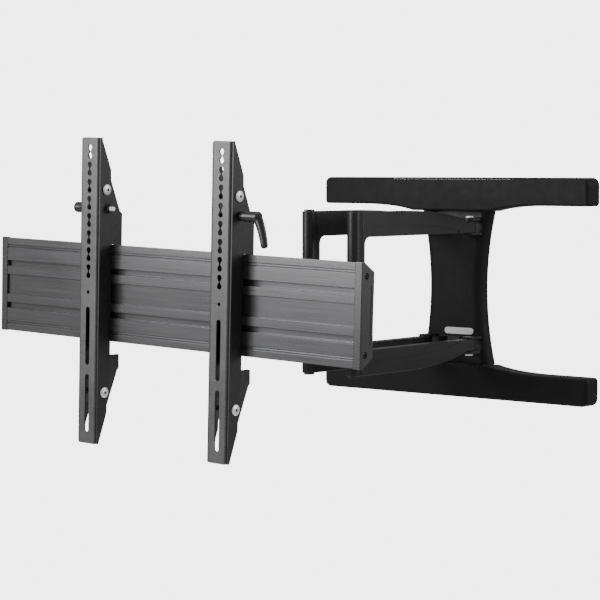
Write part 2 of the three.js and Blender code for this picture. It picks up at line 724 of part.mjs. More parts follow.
for (const [sideName, side] of Object.entries(sides)) {
  const x = bracket.positions[sideName];
  const [boltY, upperZ] = behindFace([bracket.boltDepth, bracket.boltHeight]);
  const [, lowerZ] = behindFace([bracket.boltDepth, -bracket.boltHeight]);
  const [clampY, clampZ] = behindFace([bracket.clampDepth, bracket.clampHeight]);
  place(`${sideName}_hook_bracket`, hookBracket(), materials.greyPaint, [x, 0, 0], head);
  place(`${sideName}_spacer_bolt`, bracketBolt(), materials.zinc, [x, boltY, upperZ], head);
  place(`${sideName}_pivot_bolt`, bracketBolt(), materials.zinc, [x, boltY, lowerZ], head);
  place(`${sideName}_screen_channel`, screenChannel(), materials.greyPaint, [x, 0, 0], head);
  const clampPlace = [x, clampY, clampZ];
  place(`${sideName}_clamp_bolt`, clampBolt(side), materials.zinc, clampPlace, head);
  place(`${sideName}_clamp_nut`, clampNut(side), materials.darkSteel, clampPlace, head);
  const lever = clampLever(side, bracket.leverReach[sideName]);
  place(`${sideName}_clamp_lever`, lever, materials.blackPlastic, clampPlace, head);
}

export default mount;
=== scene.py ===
# %% [markdown]
# # A full motion television wall mount
#
# A wall plate under black plastic covers carries two pairs of folding arms. The arms end in a yoke, the
# yoke carries a wide rail, and two upright brackets hook over the rail and hold the screen. The measured
# model gives every place and every body that moves. This lesson gives each piece its fine shape and its
# finish.

# %% Load the measured model
import math

import bmesh
import bpy
from mathutils import Matrix, Vector


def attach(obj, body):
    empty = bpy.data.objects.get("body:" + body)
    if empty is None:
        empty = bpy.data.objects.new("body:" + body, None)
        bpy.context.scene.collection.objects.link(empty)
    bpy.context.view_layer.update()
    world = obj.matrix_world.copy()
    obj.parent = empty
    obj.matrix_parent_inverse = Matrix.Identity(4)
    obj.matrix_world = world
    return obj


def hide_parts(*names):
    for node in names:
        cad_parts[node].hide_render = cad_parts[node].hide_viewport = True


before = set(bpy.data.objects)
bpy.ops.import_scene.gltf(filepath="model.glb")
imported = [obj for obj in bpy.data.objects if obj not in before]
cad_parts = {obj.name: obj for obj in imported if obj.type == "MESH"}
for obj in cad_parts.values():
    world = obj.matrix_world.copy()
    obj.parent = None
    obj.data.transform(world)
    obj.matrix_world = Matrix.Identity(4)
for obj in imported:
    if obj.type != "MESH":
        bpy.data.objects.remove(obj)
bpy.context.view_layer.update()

MM = 0.001
ROLL = math.radians(1.6)

# %% [markdown]
# ## Camera, floor and light
#
# A long lens keeps the upright brackets nearly parallel. The camera stands to the right of the mount and a
# little above it. One large soft light on the left slides along the flat faces of the rail and the
# brackets. A weaker one stands behind the wall's line on the right, where the sides of the brackets mirror
# it towards the camera, and a third hangs above. The room is white to the camera but sheds little light, so
# that black stays black. The floor lies well below, because the mount hangs on a wall.

# %% Camera, floor and lights
scene = bpy.context.scene


def add_object(name, data):
    """Links new data to the scene as an object at the origin."""
    made = bpy.data.objects.new(name, data)
    scene.collection.objects.link(made)
    return made


def aim(thing, place, azimuth, down):
    """Stands a camera at a place and turns it by its angles, in degrees."""
    turn, dip = math.radians(azimuth), math.radians(down)
    look = Vector((-math.sin(turn) * math.cos(dip), math.cos(turn) * math.cos(dip), -math.sin(dip)))
    thing.location = place
    thing.rotation_euler = look.to_track_quat("-Z", "Y").to_euler()


camera_data = bpy.data.cameras.new("camera")
camera_data.sensor_width = 36
camera_data.lens = 128
camera = add_object("camera", camera_data)
aim(camera, (2.112, -2.937, 0.2005), azimuth=40.05, down=3.55)
scene.camera = camera


def soft_light(name, place, target, size, power):
    """Square area light that looks at a target."""
    data = bpy.data.lights.new(name, "AREA")
    data.shape = "SQUARE"
    data.size = size
    data.energy = power
    light = add_object(name, data)
    light.location = place
    light.rotation_euler = (Vector(target) - Vector(place)).to_track_quat("-Z", "Y").to_euler()


soft_light("key_light", (-0.82, -2.3, 0.6), (0.25, -0.72, 0.05), 1.0, 44)
soft_light("side_light", (2.5, 1.0, 0.9), (0, -0.4, 0), 1.5, 30)
soft_light("top_light", (-0.2, -0.9, 2.6), (0, -0.5, 0), 1.6, 34)

world = bpy.data.worlds.new("pale_room")
world.use_nodes = True
room_nodes = world.node_tree.nodes
room_links = world.node_tree.links
sheds = room_nodes["Background"]
sheds.inputs["Strength"].default_value = 0.3
looks = room_nodes.new("ShaderNodeBackground")
looks.inputs["Strength"].default_value = 4.5
choice = room_nodes.new("ShaderNodeMixShader")
for background in (sheds, looks):
    background.inputs["Color"].default_value = (1, 1, 1, 1)
room_links.new(room_nodes.new("ShaderNodeLightPath").outputs["Is Camera Ray"], choice.inputs["Fac"])
room_links.new(sheds.outputs["Background"], choice.inputs[1])
room_links.new(looks.outputs["Background"], choice.inputs[2])
room_links.new(choice.outputs["Shader"], room_nodes["World Output"].inputs["Surface"])
scene.world = world

FLOOR_LEVEL = -1.1
floor_mesh = bpy.data.meshes.new("floor")
floor_corners = [(x, y, FLOOR_LEVEL) for x, y in ((-1.5, -2), (1.5, -2), (1.5, 1), (-1.5, 1))]
floor_mesh.from_pydata(floor_corners, [], [(0, 1, 2, 3)])
floor = add_object("floor", floor_mesh)
print("camera lens", camera_data.lens, "mm")

# %% [markdown]
# ## Node trees as sentences
#
# Shader and geometry trees are long when every link is a line of code. A small class wraps one output of a
# node, so that values are added and multiplied as in any formula, and one method makes any other node.

# %% Writing node trees
class Value:
    """One output socket that can be used in arithmetic."""

    def __init__(self, tree, socket):
        self.tree = tree
        self.socket = socket

    def __add__(self, other):
        return self.tree.maths("ADD", self, other)

    def __sub__(self, other):
        return self.tree.maths("SUBTRACT", self, other)

    def __mul__(self, other):
        return self.tree.maths("MULTIPLY", self, other)


class Tree:
    """A node tree whose nodes are made by one method."""

    def __init__(self, nodes):
        self.nodes = nodes

    def node(self, kind, settings=None, inputs=None, output=0):
        """Makes a node, sets it up, fills or links its inputs and returns one output."""
        made = self.nodes.nodes.new(kind)
        for name, setting in (settings or {}).items():
            setattr(made, name, setting)
        for name, given in (inputs or {}).items():
            if isinstance(given, Value):
                self.nodes.links.new(given.socket, made.inputs[name])
            else:
                made.inputs[name].default_value = given
        return Value(self, made.outputs[output]) if made.outputs else made

    def maths(self, operation, first, second):
        """Math node on two values or numbers."""
        return self.node("ShaderNodeMath", {"operation": operation}, {0: first, 1: second})


# %% [markdown]
# ## Finishes
#
# Every finish starts from the same few observations: no surface has one colour all over, no surface is
# equally rough all over, and moulded plastic and powder paint have a fine skin that scatters the light. So
# a finish mixes two close colours with slow noise, moves its roughness with another noise, and adds a bump
# of the right size. Patterns read the object's own coordinates in metres, so a noise scale of 1000 means
# lumps of one millimetre.

# %% Tools for finishes
class Finish(Tree):
    """Material with one Principled shader."""

    def __init__(self, name, metallic=0.0, coat=0.0, specular=0.5):
        self.material = bpy.data.materials.new(name)
        self.material.use_nodes = True
        super().__init__(self.material.node_tree)
        self.shader = self.nodes.nodes["Principled BSDF"]
        self.shader.inputs["Metallic"].default_value = metallic
        self.shader.inputs["Coat Weight"].default_value = coat
        self.shader.inputs["Specular IOR Level"].default_value = specular
        self.place = self.node("ShaderNodeTexCoord", output="Object")

    def noise(self, scale, detail=2.0, stretch=(1, 1, 1)):
        """Noise from 0 to 1, stretched by different scales along the axes."""
        place = self.node("ShaderNodeMapping", inputs={"Vector": self.place, "Scale": stretch})
        sizes = {"Vector": place, "Scale": scale, "Detail": detail}
        return self.node("ShaderNodeTexNoise", inputs=sizes)

    def between(self, value, low, high, to_low=0.0, to_high=1.0):
        """Spreads the part of a value between low and high over a new range."""
        spread = {"Value": value, "From Min": low, "From Max": high, "To Min": to_low, "To Max": to_high}
        return self.node("ShaderNodeMapRange", inputs=spread)

    def blend(self, amount, first, second):
        """Mixes two colours."""
        return self.node("ShaderNodeMix", {"data_type": "RGBA"}, {0: amount, 6: first, 7: second}, output=2)

    def facing_up(self):
        """1 where the surface looks up, 0 on walls and undersides."""
        normal = self.node("ShaderNodeNewGeometry", output="Normal")
        height = self.node("ShaderNodeSeparateXYZ", inputs={"Vector": normal}, output="Z")
        return self.between(height, 0.55, 0.98)

    def pointiness(self, flat, sharp):
        """0 on flat ground, 1 on the sharp edges of the mesh; above 0.5 is outward, below it is inward."""
        return self.between(self.node("ShaderNodeNewGeometry", output="Pointiness"), flat, sharp)

    def set(self, colour=None, roughness=None, height=None, depth=0.0001):
        """Feeds the shader: colour, roughness, and a bump of the given depth in metres."""
        links = self.nodes.links
        if colour is not None:
            links.new(colour.socket, self.shader.inputs["Base Color"])
        if roughness is not None:
            links.new(roughness.socket, self.shader.inputs["Roughness"])
        if height is not None:
            bump = self.node("ShaderNodeBump", inputs={"Height": height, "Distance": depth})
            links.new(bump.socket, self.shader.inputs["Normal"])
        return self.material


WHITE = (1.0, 1.0, 1.0)
COOL = (1.0, 1.0, 1.03)


def grey(level, tint=COOL):
    """Opaque colour near grey."""
    return tuple(level * part for part in tint) + (1.0,)


# %% [markdown]
# ### Moulded black plastic
#
# The covers are injection moulded with a fine spark-eroded texture. Such a skin is dull and a little uneven
# in gloss. Its upper edges are lighter in patches: light dust, and also a painted highlight where light from
# above falls on them. A fine noise makes the skin and a slow one the uneven gloss.

# %% Moulded plastic and the lever's plastic
def moulded_plastic(name, level, roughness, skin, specular):
    finish = Finish(name, specular=specular)
    slow = finish.noise(9, 3)
    fine = finish.noise(1500, 2)
    flow = finish.noise(60, 4)
    # Upward faces are lighter in patches: dust, and also a painted highlight on the tops.
    dust_and_top_light = finish.facing_up() * finish.between(finish.noise(140, 5), 0.35, 0.75)
    base = finish.blend(slow, grey(level), grey(level * 1.5))
    colour = finish.blend(dust_and_top_light * 0.22, base, grey(0.22))
    gloss = finish.between(flow, 0.3, 0.7, roughness - 0.05, roughness + 0.06) + dust_and_top_light * 0.12
    return finish.set(colour, gloss, fine + flow * 0.4, skin)


cover_plastic = moulded_plastic("cover_plastic", 0.006, 0.56, 0.00012, 0.2)
lever_plastic = moulded_plastic("lever_plastic", 0.016, 0.34, 0.00004, 0.5)
print("plastics:", cover_plastic.name, lever_plastic.name)

# %% [markdown]
# ### Powder paint
#
# The arms and brackets are painted with baked powder. It melts into a skin like orange peel, with soft
# hills one to three millimetres wide, and small specks on top. Where edges rub, the paint is polished
# lighter.

# %% Powder paint
def powder_paint(name, level, roughness, peel, metallic=0.0):
    finish = Finish(name, metallic=metallic, specular=0.5)
    slow = finish.noise(14, 3)
    hills = finish.noise(420, 1)
    specks = finish.noise(2600, 2)
    rubs = finish.between(finish.noise(30, 5, (1, 1, 6)), 0.58, 0.72)
    worn = finish.pointiness(0.52, 0.6) * finish.between(finish.noise(90, 3), 0.3, 0.7)
    base = finish.blend(finish.between(slow, 0.3, 0.7), grey(level * 0.88), grey(level * 1.14))
    speckled = finish.blend(finish.between(specks, 0.56, 0.7) * 0.35, base, grey(level * 1.9))
    colour = finish.blend(worn * 0.4, speckled, grey(level * 2.4 + 0.02))
    # Upward faces are lighter in patches: dust, and also a painted highlight on the tops.
    dust_and_top_light = finish.facing_up() * finish.between(finish.noise(120, 5), 0.4, 0.8)
    dusty_and_top_lit = finish.blend(dust_and_top_light * 0.18, colour, grey(0.3))
    gloss = finish.between(slow, 0.3, 0.7, roughness - 0.04, roughness + 0.05) - rubs * 0.07 + dust_and_top_light * 0.1
    return finish.set(dusty_and_top_lit, gloss, hills + specks * 0.35, peel)


arm_paint = powder_paint("arm_paint", 0.011, 0.38, 0.00012)
steel_paint = powder_paint("steel_paint", 0.008, 0.42, 0.0001)
hook_paint = powder_paint("hook_paint", 0.026, 0.42, 0.0001, 0.2)
face_paint = powder_paint("face_paint", 0.08, 0.4, 0.0001, 0.3)
print("paints:", arm_paint.name, steel_paint.name, hook_paint.name, face_paint.name)

# %% [markdown]
# ### Anodised rail
#
# The rail is pressed through a die, brushed along its length and anodised dark grey. Long streaks follow
# the extrusion, so the noise is stretched along X until it becomes lines, and the gloss follows the same
# lines.

# %% Anodised rail
def anodised(name, level, roughness):
    finish = Finish(name, metallic=0.75, specular=0.5)
    level_again = {"Vector": finish.place, "Rotation": (0, -ROLL, 0)}
    finish.place = finish.node("ShaderNodeMapping", inputs=level_again)
    streaks = finish.noise(1, 4, (6, 900, 900))
    bands = finish.noise(1, 2, (1.2, 120, 120))
    slow = finish.noise(7, 3)
    worn = finish.pointiness(0.51, 0.58)
    base = finish.blend(finish.between(streaks, 0.25, 0.75), grey(level * 0.82), grey(level * 1.2))
    colour = finish.blend(bands * 0.35, base, grey(level * 0.9))
    edged = finish.blend(worn * 0.35, colour, grey(level * 2.0))
    gloss = finish.between(streaks + slow * 0.6, 0.5, 1.1, roughness - 0.05, roughness + 0.07)
    return finish.set(edged, gloss, streaks + finish.noise(1900, 2) * 0.3, 0.00004)


rail_finish = anodised("rail_finish", 0.08, 0.31)
print("rail:", rail_finish.name)

# %% [markdown]
# ### Zinc and the blank badge
#
# Bolts and pins are zinc plated: bright, slightly cloudy, with fine turning lines. Inward corners are
# painted dark as painted shade, so the floor of a socket is dark. The badge is a pale satin plate with
# nothing on it, and the floor is chalky.

# %% Zinc plate and badge
def zinc_plate(name, level, roughness):
    finish = Finish(name, metallic=0.9, specular=0.8)
    clouds = finish.noise(220, 4)
    fine = finish.noise(2400, 2)
    bright = grey(1.0, WHITE)
    colour = finish.blend(finish.between(clouds, 0.3, 0.7), grey(level, (0.98, 1.0, 1.02)), bright)
    worn = finish.blend(finish.pointiness(0.52, 0.6) * 0.3, colour, bright)
    # Painted shade: inward corners, such as the floor of a socket, are darkened almost to black.
    with_painted_corner_shade = finish.blend(finish.pointiness(0.49, 0.41) * 0.95, worn, grey(0.01))
    return finish.set(with_painted_corner_shade, finish.between(clouds, 0.3, 0.7, roughness, roughness + 0.14), fine, 0.00002)


def badge_plate(name):
    finish = Finish(name, metallic=0.2, coat=0.3)
    brushed = finish.noise(1, 4, (40, 900, 1500))
    colour = finish.blend(finish.between(brushed, 0.3, 0.7), grey(0.62), grey(0.78))
    return finish.set(colour, finish.between(brushed, 0.3, 0.7, 0.3, 0.42), brushed, 0.00002)


zinc = zinc_plate("zinc", 0.95, 0.42)
badge_finish = badge_plate("badge_finish")
floor_finish = Finish("floor_finish", specular=0.1)
floor_tone = floor_finish.blend(floor_finish.noise(0.6, 3), grey(0.86, WHITE), grey(0.9, WHITE))
floor_gloss = floor_finish.between(floor_finish.noise(3), 0, 1, 0.7, 0.9)
floor_mesh.materials.append(floor_finish.set(floor_tone, floor_gloss))
print("metals:", zinc.name, badge_finish.name)

# %% [markdown]
# ## Making solids
#
# Most pieces are plates, castings and turned parts, so three makers cover them: an outline swept straight
# along one axis, a chain of rings skinned over, and a profile turned round an axis. Solids are then cut and
# joined with exact booleans, and a bevel rounds their edges, because a real edge always catches a line of
# light. All sizes here are in millimetres.

# %% Outlines
def arc(x, y, radius, start, end, steps=16):
    """Points on an arc from one angle to another, in degrees."""
    turns = [math.radians(start + (end - start) * i / steps) for i in range(steps + 1)]
    return [(x + radius * math.cos(t), y + radius * math.sin(t)) for t in turns]


def bow(start, control, end, steps=20):
    """Points on a curve that is pulled towards a control point."""
    points = []
    for i in range(steps + 1):
        t = i / steps
        weights = ((1 - t) ** 2, 2 * t * (1 - t), t ** 2)
        points.append(tuple(sum(w * p[k] for w, p in zip(weights, (start, control, end))) for k in (0, 1)))
    return points


def soften(points, radius, steps=5):
    """Outline with its corners rounded."""
    soft = []
    for i, corner in enumerate(points):
        here = Vector(corner)
        ends = []
        for other in (points[i - 1], points[(i + 1) % len(points)]):
            away = Vector(other) - here
            ends.append(here + away.normalized() * min(radius, away.length * 0.45))
        soft += bow(ends[0], here, ends[1], steps)
    return soft


def slot_outline(start, end, radius, steps=14):
    """Outline with round ends between two points."""
    (x1, y1), (x2, y2) = start, end
    turn = math.degrees(math.atan2(y2 - y1, x2 - x1))
    far_end = arc(x2, y2, radius, turn - 90, turn + 90, steps)
    return far_end + arc(x1, y1, radius, turn + 90, turn + 270, steps)


def rectangle(half_width, half_height, lift=0.0):
    """Corners of a rectangle about the origin, or about a point above it."""
    low, high = lift - half_height, lift + half_height
    return [(-half_width, low), (half_width, low), (half_width, high), (-half_width, high)]


def mirror_level(points, level):
    """Turns an outline of the upper level into the lower one."""
    return [(a, b * level) for a, b in points]


# %% Solids
def solid(vertices, faces):
    """Object from points in millimetres, its faces turned outwards."""
    mesh = bpy.data.meshes.new("shape")
    mesh.from_pydata([Vector(v) * MM for v in vertices], [], faces)
    work = bmesh.new()
    work.from_mesh(mesh)
    bmesh.ops.remove_doubles(work, verts=work.verts, dist=1e-6)
    bmesh.ops.recalc_face_normals(work, faces=work.faces)
    work.to_mesh(mesh)
    work.free()
    return add_object("shape", mesh)


def skin(rings):
    """Closed solid over a chain of rings that all have the same number of points."""
    count = len(rings[0])
    faces = [tuple(range(count)), tuple(range(len(rings) * count - 1, (len(rings) - 1) * count - 1, -1))]
    for r in range(len(rings) - 1):
        for i in range(count):
            j = (i + 1) % count
            faces.append((r * count + i, r * count + j, (r + 1) * count + j, (r + 1) * count + i))
    return solid([point for ring in rings for point in ring], faces)


SWEEPS = {
    "x": lambda a, b, along: (along, a, b),
    "y": lambda a, b, along: (a, along, b),
    "z": lambda a, b, along: (a, b, along),
}


def prism(outline, low, high, axis):
    """Outline swept straight along an axis; it is drawn in the other two, in the order of the alphabet."""
    return skin([[SWEEPS[axis](a, b, along) for a, b in outline] for along in (low, high)])


def block(corner, opposite):
    """Box between two corners."""
    (x1, y1, z1), (x2, y2, z2) = corner, opposite
    return prism([(x1, y1), (x2, y1), (x2, y2), (x1, y2)], z1, z2, "z")


def turned(profile, segments=40):
    """Solid turned round the Z axis from (radius, height) points; it starts and ends on the axis."""
    vertices, faces = [], []
    for radius, height in profile:
        for i in range(segments):
            t = 2 * math.pi * i / segments
            vertices.append((radius * math.cos(t), radius * math.sin(t), height))
    for r in range(len(profile) - 1):
        for i in range(segments):
            j = (i + 1) % segments
            faces.append((r * segments + i, r * segments + j, (r + 1) * segments + j, (r + 1) * segments + i))
    return solid(vertices, faces)


def moved(piece, place=(0, 0, 0), turn=None):
    """Turns the mesh itself and moves it, in millimetres."""
    piece.data.transform(Matrix.Translation(Vector(place) * MM) @ (turn or Matrix()))
    return piece


ALONG_X = Matrix.Rotation(math.pi / 2, 4, "Y")
AGAINST_X = Matrix.Rotation(-math.pi / 2, 4, "Y")
OUT = Matrix.Rotation(math.pi / 2, 4, "X")
RAIL_MIDDLE = Matrix.Translation(Vector((0, 0, 13)) * MM)
ROLLED = ("head", "left_hook", "right_hook")


def roll(piece):
    """Tilts a piece of the rail's family, which was drawn level, about the middle of the rail."""
    piece.data.transform(RAIL_MIDDLE @ Matrix.Rotation(ROLL, 4, "Y") @ RAIL_MIDDLE.inverted())
    return piece


def rod(radius, low, high, segments=40):
    """Plain round bar on the Z axis."""
    return turned([(0, low), (radius, low), (radius, high), (0, high)], segments)


# %% [markdown]
# Modifiers are only a way of working here. As soon as a shape is done, its evaluated mesh becomes the
# object's own mesh, so that nothing is left to be evaluated later.

# %% Cutting, rounding and finishing
def bake(piece):
    """Keeps what the modifiers make as the object's own mesh."""
    scene.view_layers[0].update()
    shape = piece.evaluated_get(bpy.context.evaluated_depsgraph_get())
    mesh = bpy.data.meshes.new_from_object(shape)
    piece.modifiers.clear()
    old, piece.data = piece.data, mesh
    bpy.data.meshes.remove(old)
    return piece


def discard(*pieces):
    """Removes working objects."""
    for piece in pieces:
        mesh = piece.data
        bpy.data.objects.remove(piece)
        bpy.data.meshes.remove(mesh)


def combine(base, tools, operation="DIFFERENCE"):
    """Cuts tools from a solid, joins them to it or keeps what they share with it."""
    for tool in tools:
        modifier = base.modifiers.new("combine", "BOOLEAN")
        modifier.solver = "EXACT"
        modifier.operation = operation
        modifier.object = tool
    bake(base)
    discard(*tools)
    return base


def round_edges(piece, width, steps=3, limit=32):
    """Rounds every edge sharper than the limit."""
    bevel = piece.modifiers.new("edges", "BEVEL")
    bevel.width = width * MM
    bevel.segments = steps
    bevel.limit_method = "ANGLE"
    bevel.angle_limit = math.radians(limit)
    return bake(piece)


def finish_piece(piece, name, material, body, stands_for, sharp=34):
    """Names a piece, shades it smooth up to its sharp edges and hands it to its body."""
    piece.name = piece.data.name = name
    piece.data.materials.clear()
    piece.data.materials.append(material)
    piece.data.shade_smooth()
    piece.data.set_sharp_from_angle(angle=math.radians(sharp))
    weighted = piece.modifiers.new("normals", "WEIGHTED_NORMAL")
    weighted.keep_sharp = True
    bake(piece)
    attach(piece, body)
    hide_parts(*stands_for)
    print(f"{name}: {len(piece.data.polygons)} faces on {body}")
    return piece


def measured_copy(node):
    """Working copy of a measured piece with its loose triangles merged back into flat faces."""
    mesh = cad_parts[node].data.copy()
    work = bmesh.new()
    work.from_mesh(mesh)
    bmesh.ops.remove_doubles(work, verts=work.verts, dist=1e-6)
    bmesh.ops.dissolve_limit(work, angle_limit=math.radians(0.5), verts=work.verts, edges=work.edges)
    work.to_mesh(mesh)
    work.free()
    return add_object("shape", mesh)


# %% [markdown]
# ## Things that repeat
#
# Holes in a row, pockets in a row and screws at given places are the same piece again and again. Two small
# Geometry Nodes trees do this: one puts a part on a straight row, the other puts it on each point of a
# mesh, turned by an angle that the point carries. Both end by making the copies real and giving them their
# material.

# %% Geometry Nodes trees
class ShapeTree(Tree):
    """Geometry Nodes tree with named inputs."""

    def __init__(self, name, **inputs):
        super().__init__(bpy.data.node_groups.new(name, "GeometryNodeTree"))
        sockets = self.nodes.interface
        sockets.new_socket("Geometry", in_out="INPUT", socket_type="NodeSocketGeometry")
        sockets.new_socket("Geometry", in_out="OUTPUT", socket_type="NodeSocketGeometry")
        self.identifiers = {}
        for input_name, kind in {**inputs, "Material": "NodeSocketMaterial"}.items():
            made = sockets.new_socket(input_name, in_out="INPUT", socket_type=kind)
            self.identifiers[input_name] = made.identifier
        self.start = self.nodes.nodes.new("NodeGroupInput")

    def given(self, name):
        """One of the tree's own inputs."""
        return Value(self, self.start.outputs[name])

    def end(self, geometry):
        """Makes copies real, sets the material and ends the tree."""
        real = self.node("GeometryNodeRealizeInstances", inputs={"Geometry": geometry})
        coat = {"Geometry": real, "Material": self.given("Material")}
        self.node("NodeGroupOutput", inputs={"Geometry": self.node("GeometryNodeSetMaterial", inputs=coat)})
        return self


def grow(piece, tree, **values):
    """Runs a tree on an object and keeps the mesh that it makes."""
    modifier = piece.modifiers.new("grow", "NODES")
    modifier.node_group = tree.nodes
    for name, value in values.items():
        modifier[tree.identifiers[name]] = value
    return bake(piece)


def part_of(tree):
    """Shape of the object given as the tree's part."""
    return tree.node("GeometryNodeObjectInfo", inputs={"Object": tree.given("Part")}, output="Geometry")


row_tree = ShapeTree("row", Part="NodeSocketObject", Count="NodeSocketInt", Start="NodeSocketVector",
                     Step="NodeSocketVector")
row_line = row_tree.node("GeometryNodeMeshLine", {"mode": "OFFSET"}, {
    "Count": row_tree.given("Count"), "Start Location": row_tree.given("Start"),
    "Offset": row_tree.given("Step")})
row_tree.end(row_tree.node("GeometryNodeInstanceOnPoints", inputs={
    "Points": row_line, "Instance": part_of(row_tree)}))

place_tree = ShapeTree("placed", Part="NodeSocketObject")
turn_angle = place_tree.node(
    "GeometryNodeInputNamedAttribute", {"data_type": "FLOAT_VECTOR"}, {"Name": "turn"}, output="Attribute")
place_tree.end(place_tree.node("GeometryNodeInstanceOnPoints", inputs={
    "Points": place_tree.given("Geometry"), "Instance": part_of(place_tree), "Rotation": turn_angle}))


def in_a_row(part, count, start, step):
    """Copies of a part at equal steps, as one object."""
    empty = add_object("row", bpy.data.meshes.new("row"))
    copies = grow(empty, row_tree, Part=part, Count=count, Start=[v * MM for v in start],
                  Step=[v * MM for v in step])
    discard(part)
    return copies


def at_places(part, places, turns=None):
    """Copies of a part at each place, turned by angles in radians, as one object."""
    mesh = bpy.data.meshes.new("places")
    mesh.from_pydata([Vector(place) * MM for place in places], [], [])
    turn = mesh.attributes.new("turn", "FLOAT_VECTOR", "POINT")
    for i in range(len(places)):
        turn.data[i].vector = turns[i] if turns else (0, 0, 0)
    copies = grow(add_object("placed", mesh), place_tree, Part=part)
    discard(part)
    return copies


SIDES = {"left": -1, "right": 1}
LEVELS = {"upper": 1, "lower": -1}
print("trees:", row_tree.nodes.name, place_tree.nodes.name)

# %% [markdown]
# ## The wall plate and its covers
#
# The steel plate is flat and its outline is already right, so the measured shape is only given a rounded
# edge. Each bar cover is a soft box whose section changes along its length: it is lower at the ends, deeper
# in the middle where it flares towards the column, and the top one has a long slanted facet above a faint
# crease. A shape that follows such a rule is best skinned over many sections. The back is then hollowed
# out.

# %% Wall plate and hinge brackets
for node, edge in {"wall_plate": 0.4, "upper_hinge_bracket": 0.7, "lower_hinge_bracket": 0.7}.items():
    rounded = round_edges(measured_copy(node), edge)
    finish_piece(rounded, f"{node}_piece", steel_paint, "wall_unit", [node])

# %% Bar covers
BAR = {
    "half": 272, "outer": 184.3, "inner": 138.3, "drop": 10, "flare": 190, "foot": 80,
    "depth": 34, "back": 0.5, "wall": 3, "end_round": 12, "low_round": 6, "front_round": 7,
    "crease": 5, "facet": 9.5, "lean": 2.6, "facet_from": 120, "facet_to": 185,
}


def inner_edge(x):
    """Height of the cover's inner edge at a place: its flare is a curve, whose point is found by halving."""
    away = abs(x)
    if away >= BAR["flare"]:
        return BAR["inner"]
    if away <= BAR["foot"]:
        return BAR["inner"] - BAR["drop"]
    low, high = 0.0, 1.0
    pull = 0.62 * BAR["flare"]
    halvings = 30
    for _ in range(halvings):
        t = (low + high) / 2
        reach = (1 - t) ** 2 * BAR["flare"] + 2 * t * (1 - t) * pull + t * t * BAR["foot"]
        low, high = (t, high) if reach > away else (low, t)
    return BAR["inner"] - BAR["drop"] * t * t


def round_off(away, end, radius):
    """How far a rounded corner has pulled back at a place near the end."""
    into = max(0.0, away - (end - radius))
    return radius - math.sqrt(max(0.0, radius ** 2 - into ** 2))


def ease(value, low, high):
    """0 below low, 1 above high, smooth in between."""
    t = min(1.0, max(0.0, (value - low) / (high - low)))
    return t * t * (3 - 2 * t)


def bar_section(x, level):
    """Section of a bar cover at one place, as points round the outside."""
    away = abs(x)
    top = BAR["outer"] - round_off(away, BAR["half"], BAR["end_round"])
    bottom = inner_edge(x) + round_off(away, BAR["half"], BAR["low_round"])
    front = -BAR["depth"] + round_off(away, BAR["half"], BAR["front_round"])
    middle = (1 - ease(away, BAR["facet_from"], BAR["facet_to"])) * (level > 0)
    lean, low_corner, corner = BAR["lean"] * middle, 4, 5
    profile = [(-BAR["back"], bottom)]
    profile += arc(front + low_corner, bottom + low_corner, low_corner, 270, 180, 6)
    profile += [(front, top - BAR["crease"] - BAR["facet"] * middle)]
    profile += arc(front + lean + corner, top - corner, corner, 180, 90, 8)
    profile += [(-BAR["back"], top)]
    return [(x, y, z * level) for y, z in profile]


def bar_stations():
    """Places along a bar, close together where its section changes."""
    round_end = BAR["end_round"]
    ends = [BAR["half"] - round_end * (1 - math.sin(math.pi / 2 * i / 12)) for i in range(13)]
    step = 4.0
    right = sorted(set([step * i for i in range(65)] + ends))
    return [-x for x in reversed(right) if x > 0] + right


def bar_hollow():
    """Outline of a bar's hollow seen from the front."""
    inset = BAR["wall"]
    half, outer, inner = BAR["half"] - inset, BAR["outer"] - inset, BAR["inner"] + inset
    lower = [(x, inner_edge(x) + inset) for x in (3 - half, *range(-264, 265, 6), half - 3)]
    upper = soften([(half, outer - 14), (half, outer), (-half, outer), (-half, outer - 14)], 8)[6:-6]
    return [(-half, inner + 2)] + lower + [(half, inner + 2)] + upper


for cover_name, level in (("top_bar_cover", 1), ("bottom_bar_cover", -1)):
    cover = skin([bar_section(x, level) for x in bar_stations()])
    hollow = prism(mirror_level(bar_hollow(), level), 1, -BAR["depth"] + BAR["wall"], "y")
    plate_passage = block((-75, -3.4, level * 123), (75, 5, level * 134))
    combine(cover, [hollow, plate_passage])
    finish_piece(cover, f"{cover_name}_piece", cover_plastic, "wall_unit", [cover_name])

# %% [markdown]
# The column cover is waisted like an hourglass and its front is gently curved, so its sections are skinned
# from the bottom to the top. Windows in it let the hinge brackets through.

# %% Column cover and badge
COLUMN = {
    "top": 127.9, "edge": 128.3, "foot": 70.8, "neck": 54.6, "depth": 26, "round": 18, "crown": 1.6,
    "wall": 2.4, "window": 57.3, "window_from": 84.6,
}
BADGE = {"left": -9, "right": 39, "height": -73, "round": 5.5, "back": -26.4, "front": -27.4}
ARM_MIDDLE = 4
GAP = 0.4


def column_half(z, inset=0.0):
    """Half width of the column at a height."""
    return COLUMN["neck"] + (COLUMN["foot"] - COLUMN["neck"]) * (z / COLUMN["edge"]) ** 2 - inset


def column_section(z, inset=0.0, back=-BAR["back"]):
    """Section of the column cover at a height: a cushion with a slightly domed front."""
    half, corner, crown = column_half(z, inset), COLUMN["round"] - inset, COLUMN["crown"]
    side_front = -COLUMN["depth"] + inset + crown
    left = [(-half, back)] + arc(-half + corner, side_front + corner, corner, 180, 270, 14)
    front = []
    for i in range(1, 16):
        x = (half - corner) * (i / 8 - 1)
        front.append((x, side_front - crown * (1 - (x / (half - corner)) ** 2)))
    right = [(-x, y) for x, y in reversed(left)]
    return [(x, y, z) for x, y in left + front + right]


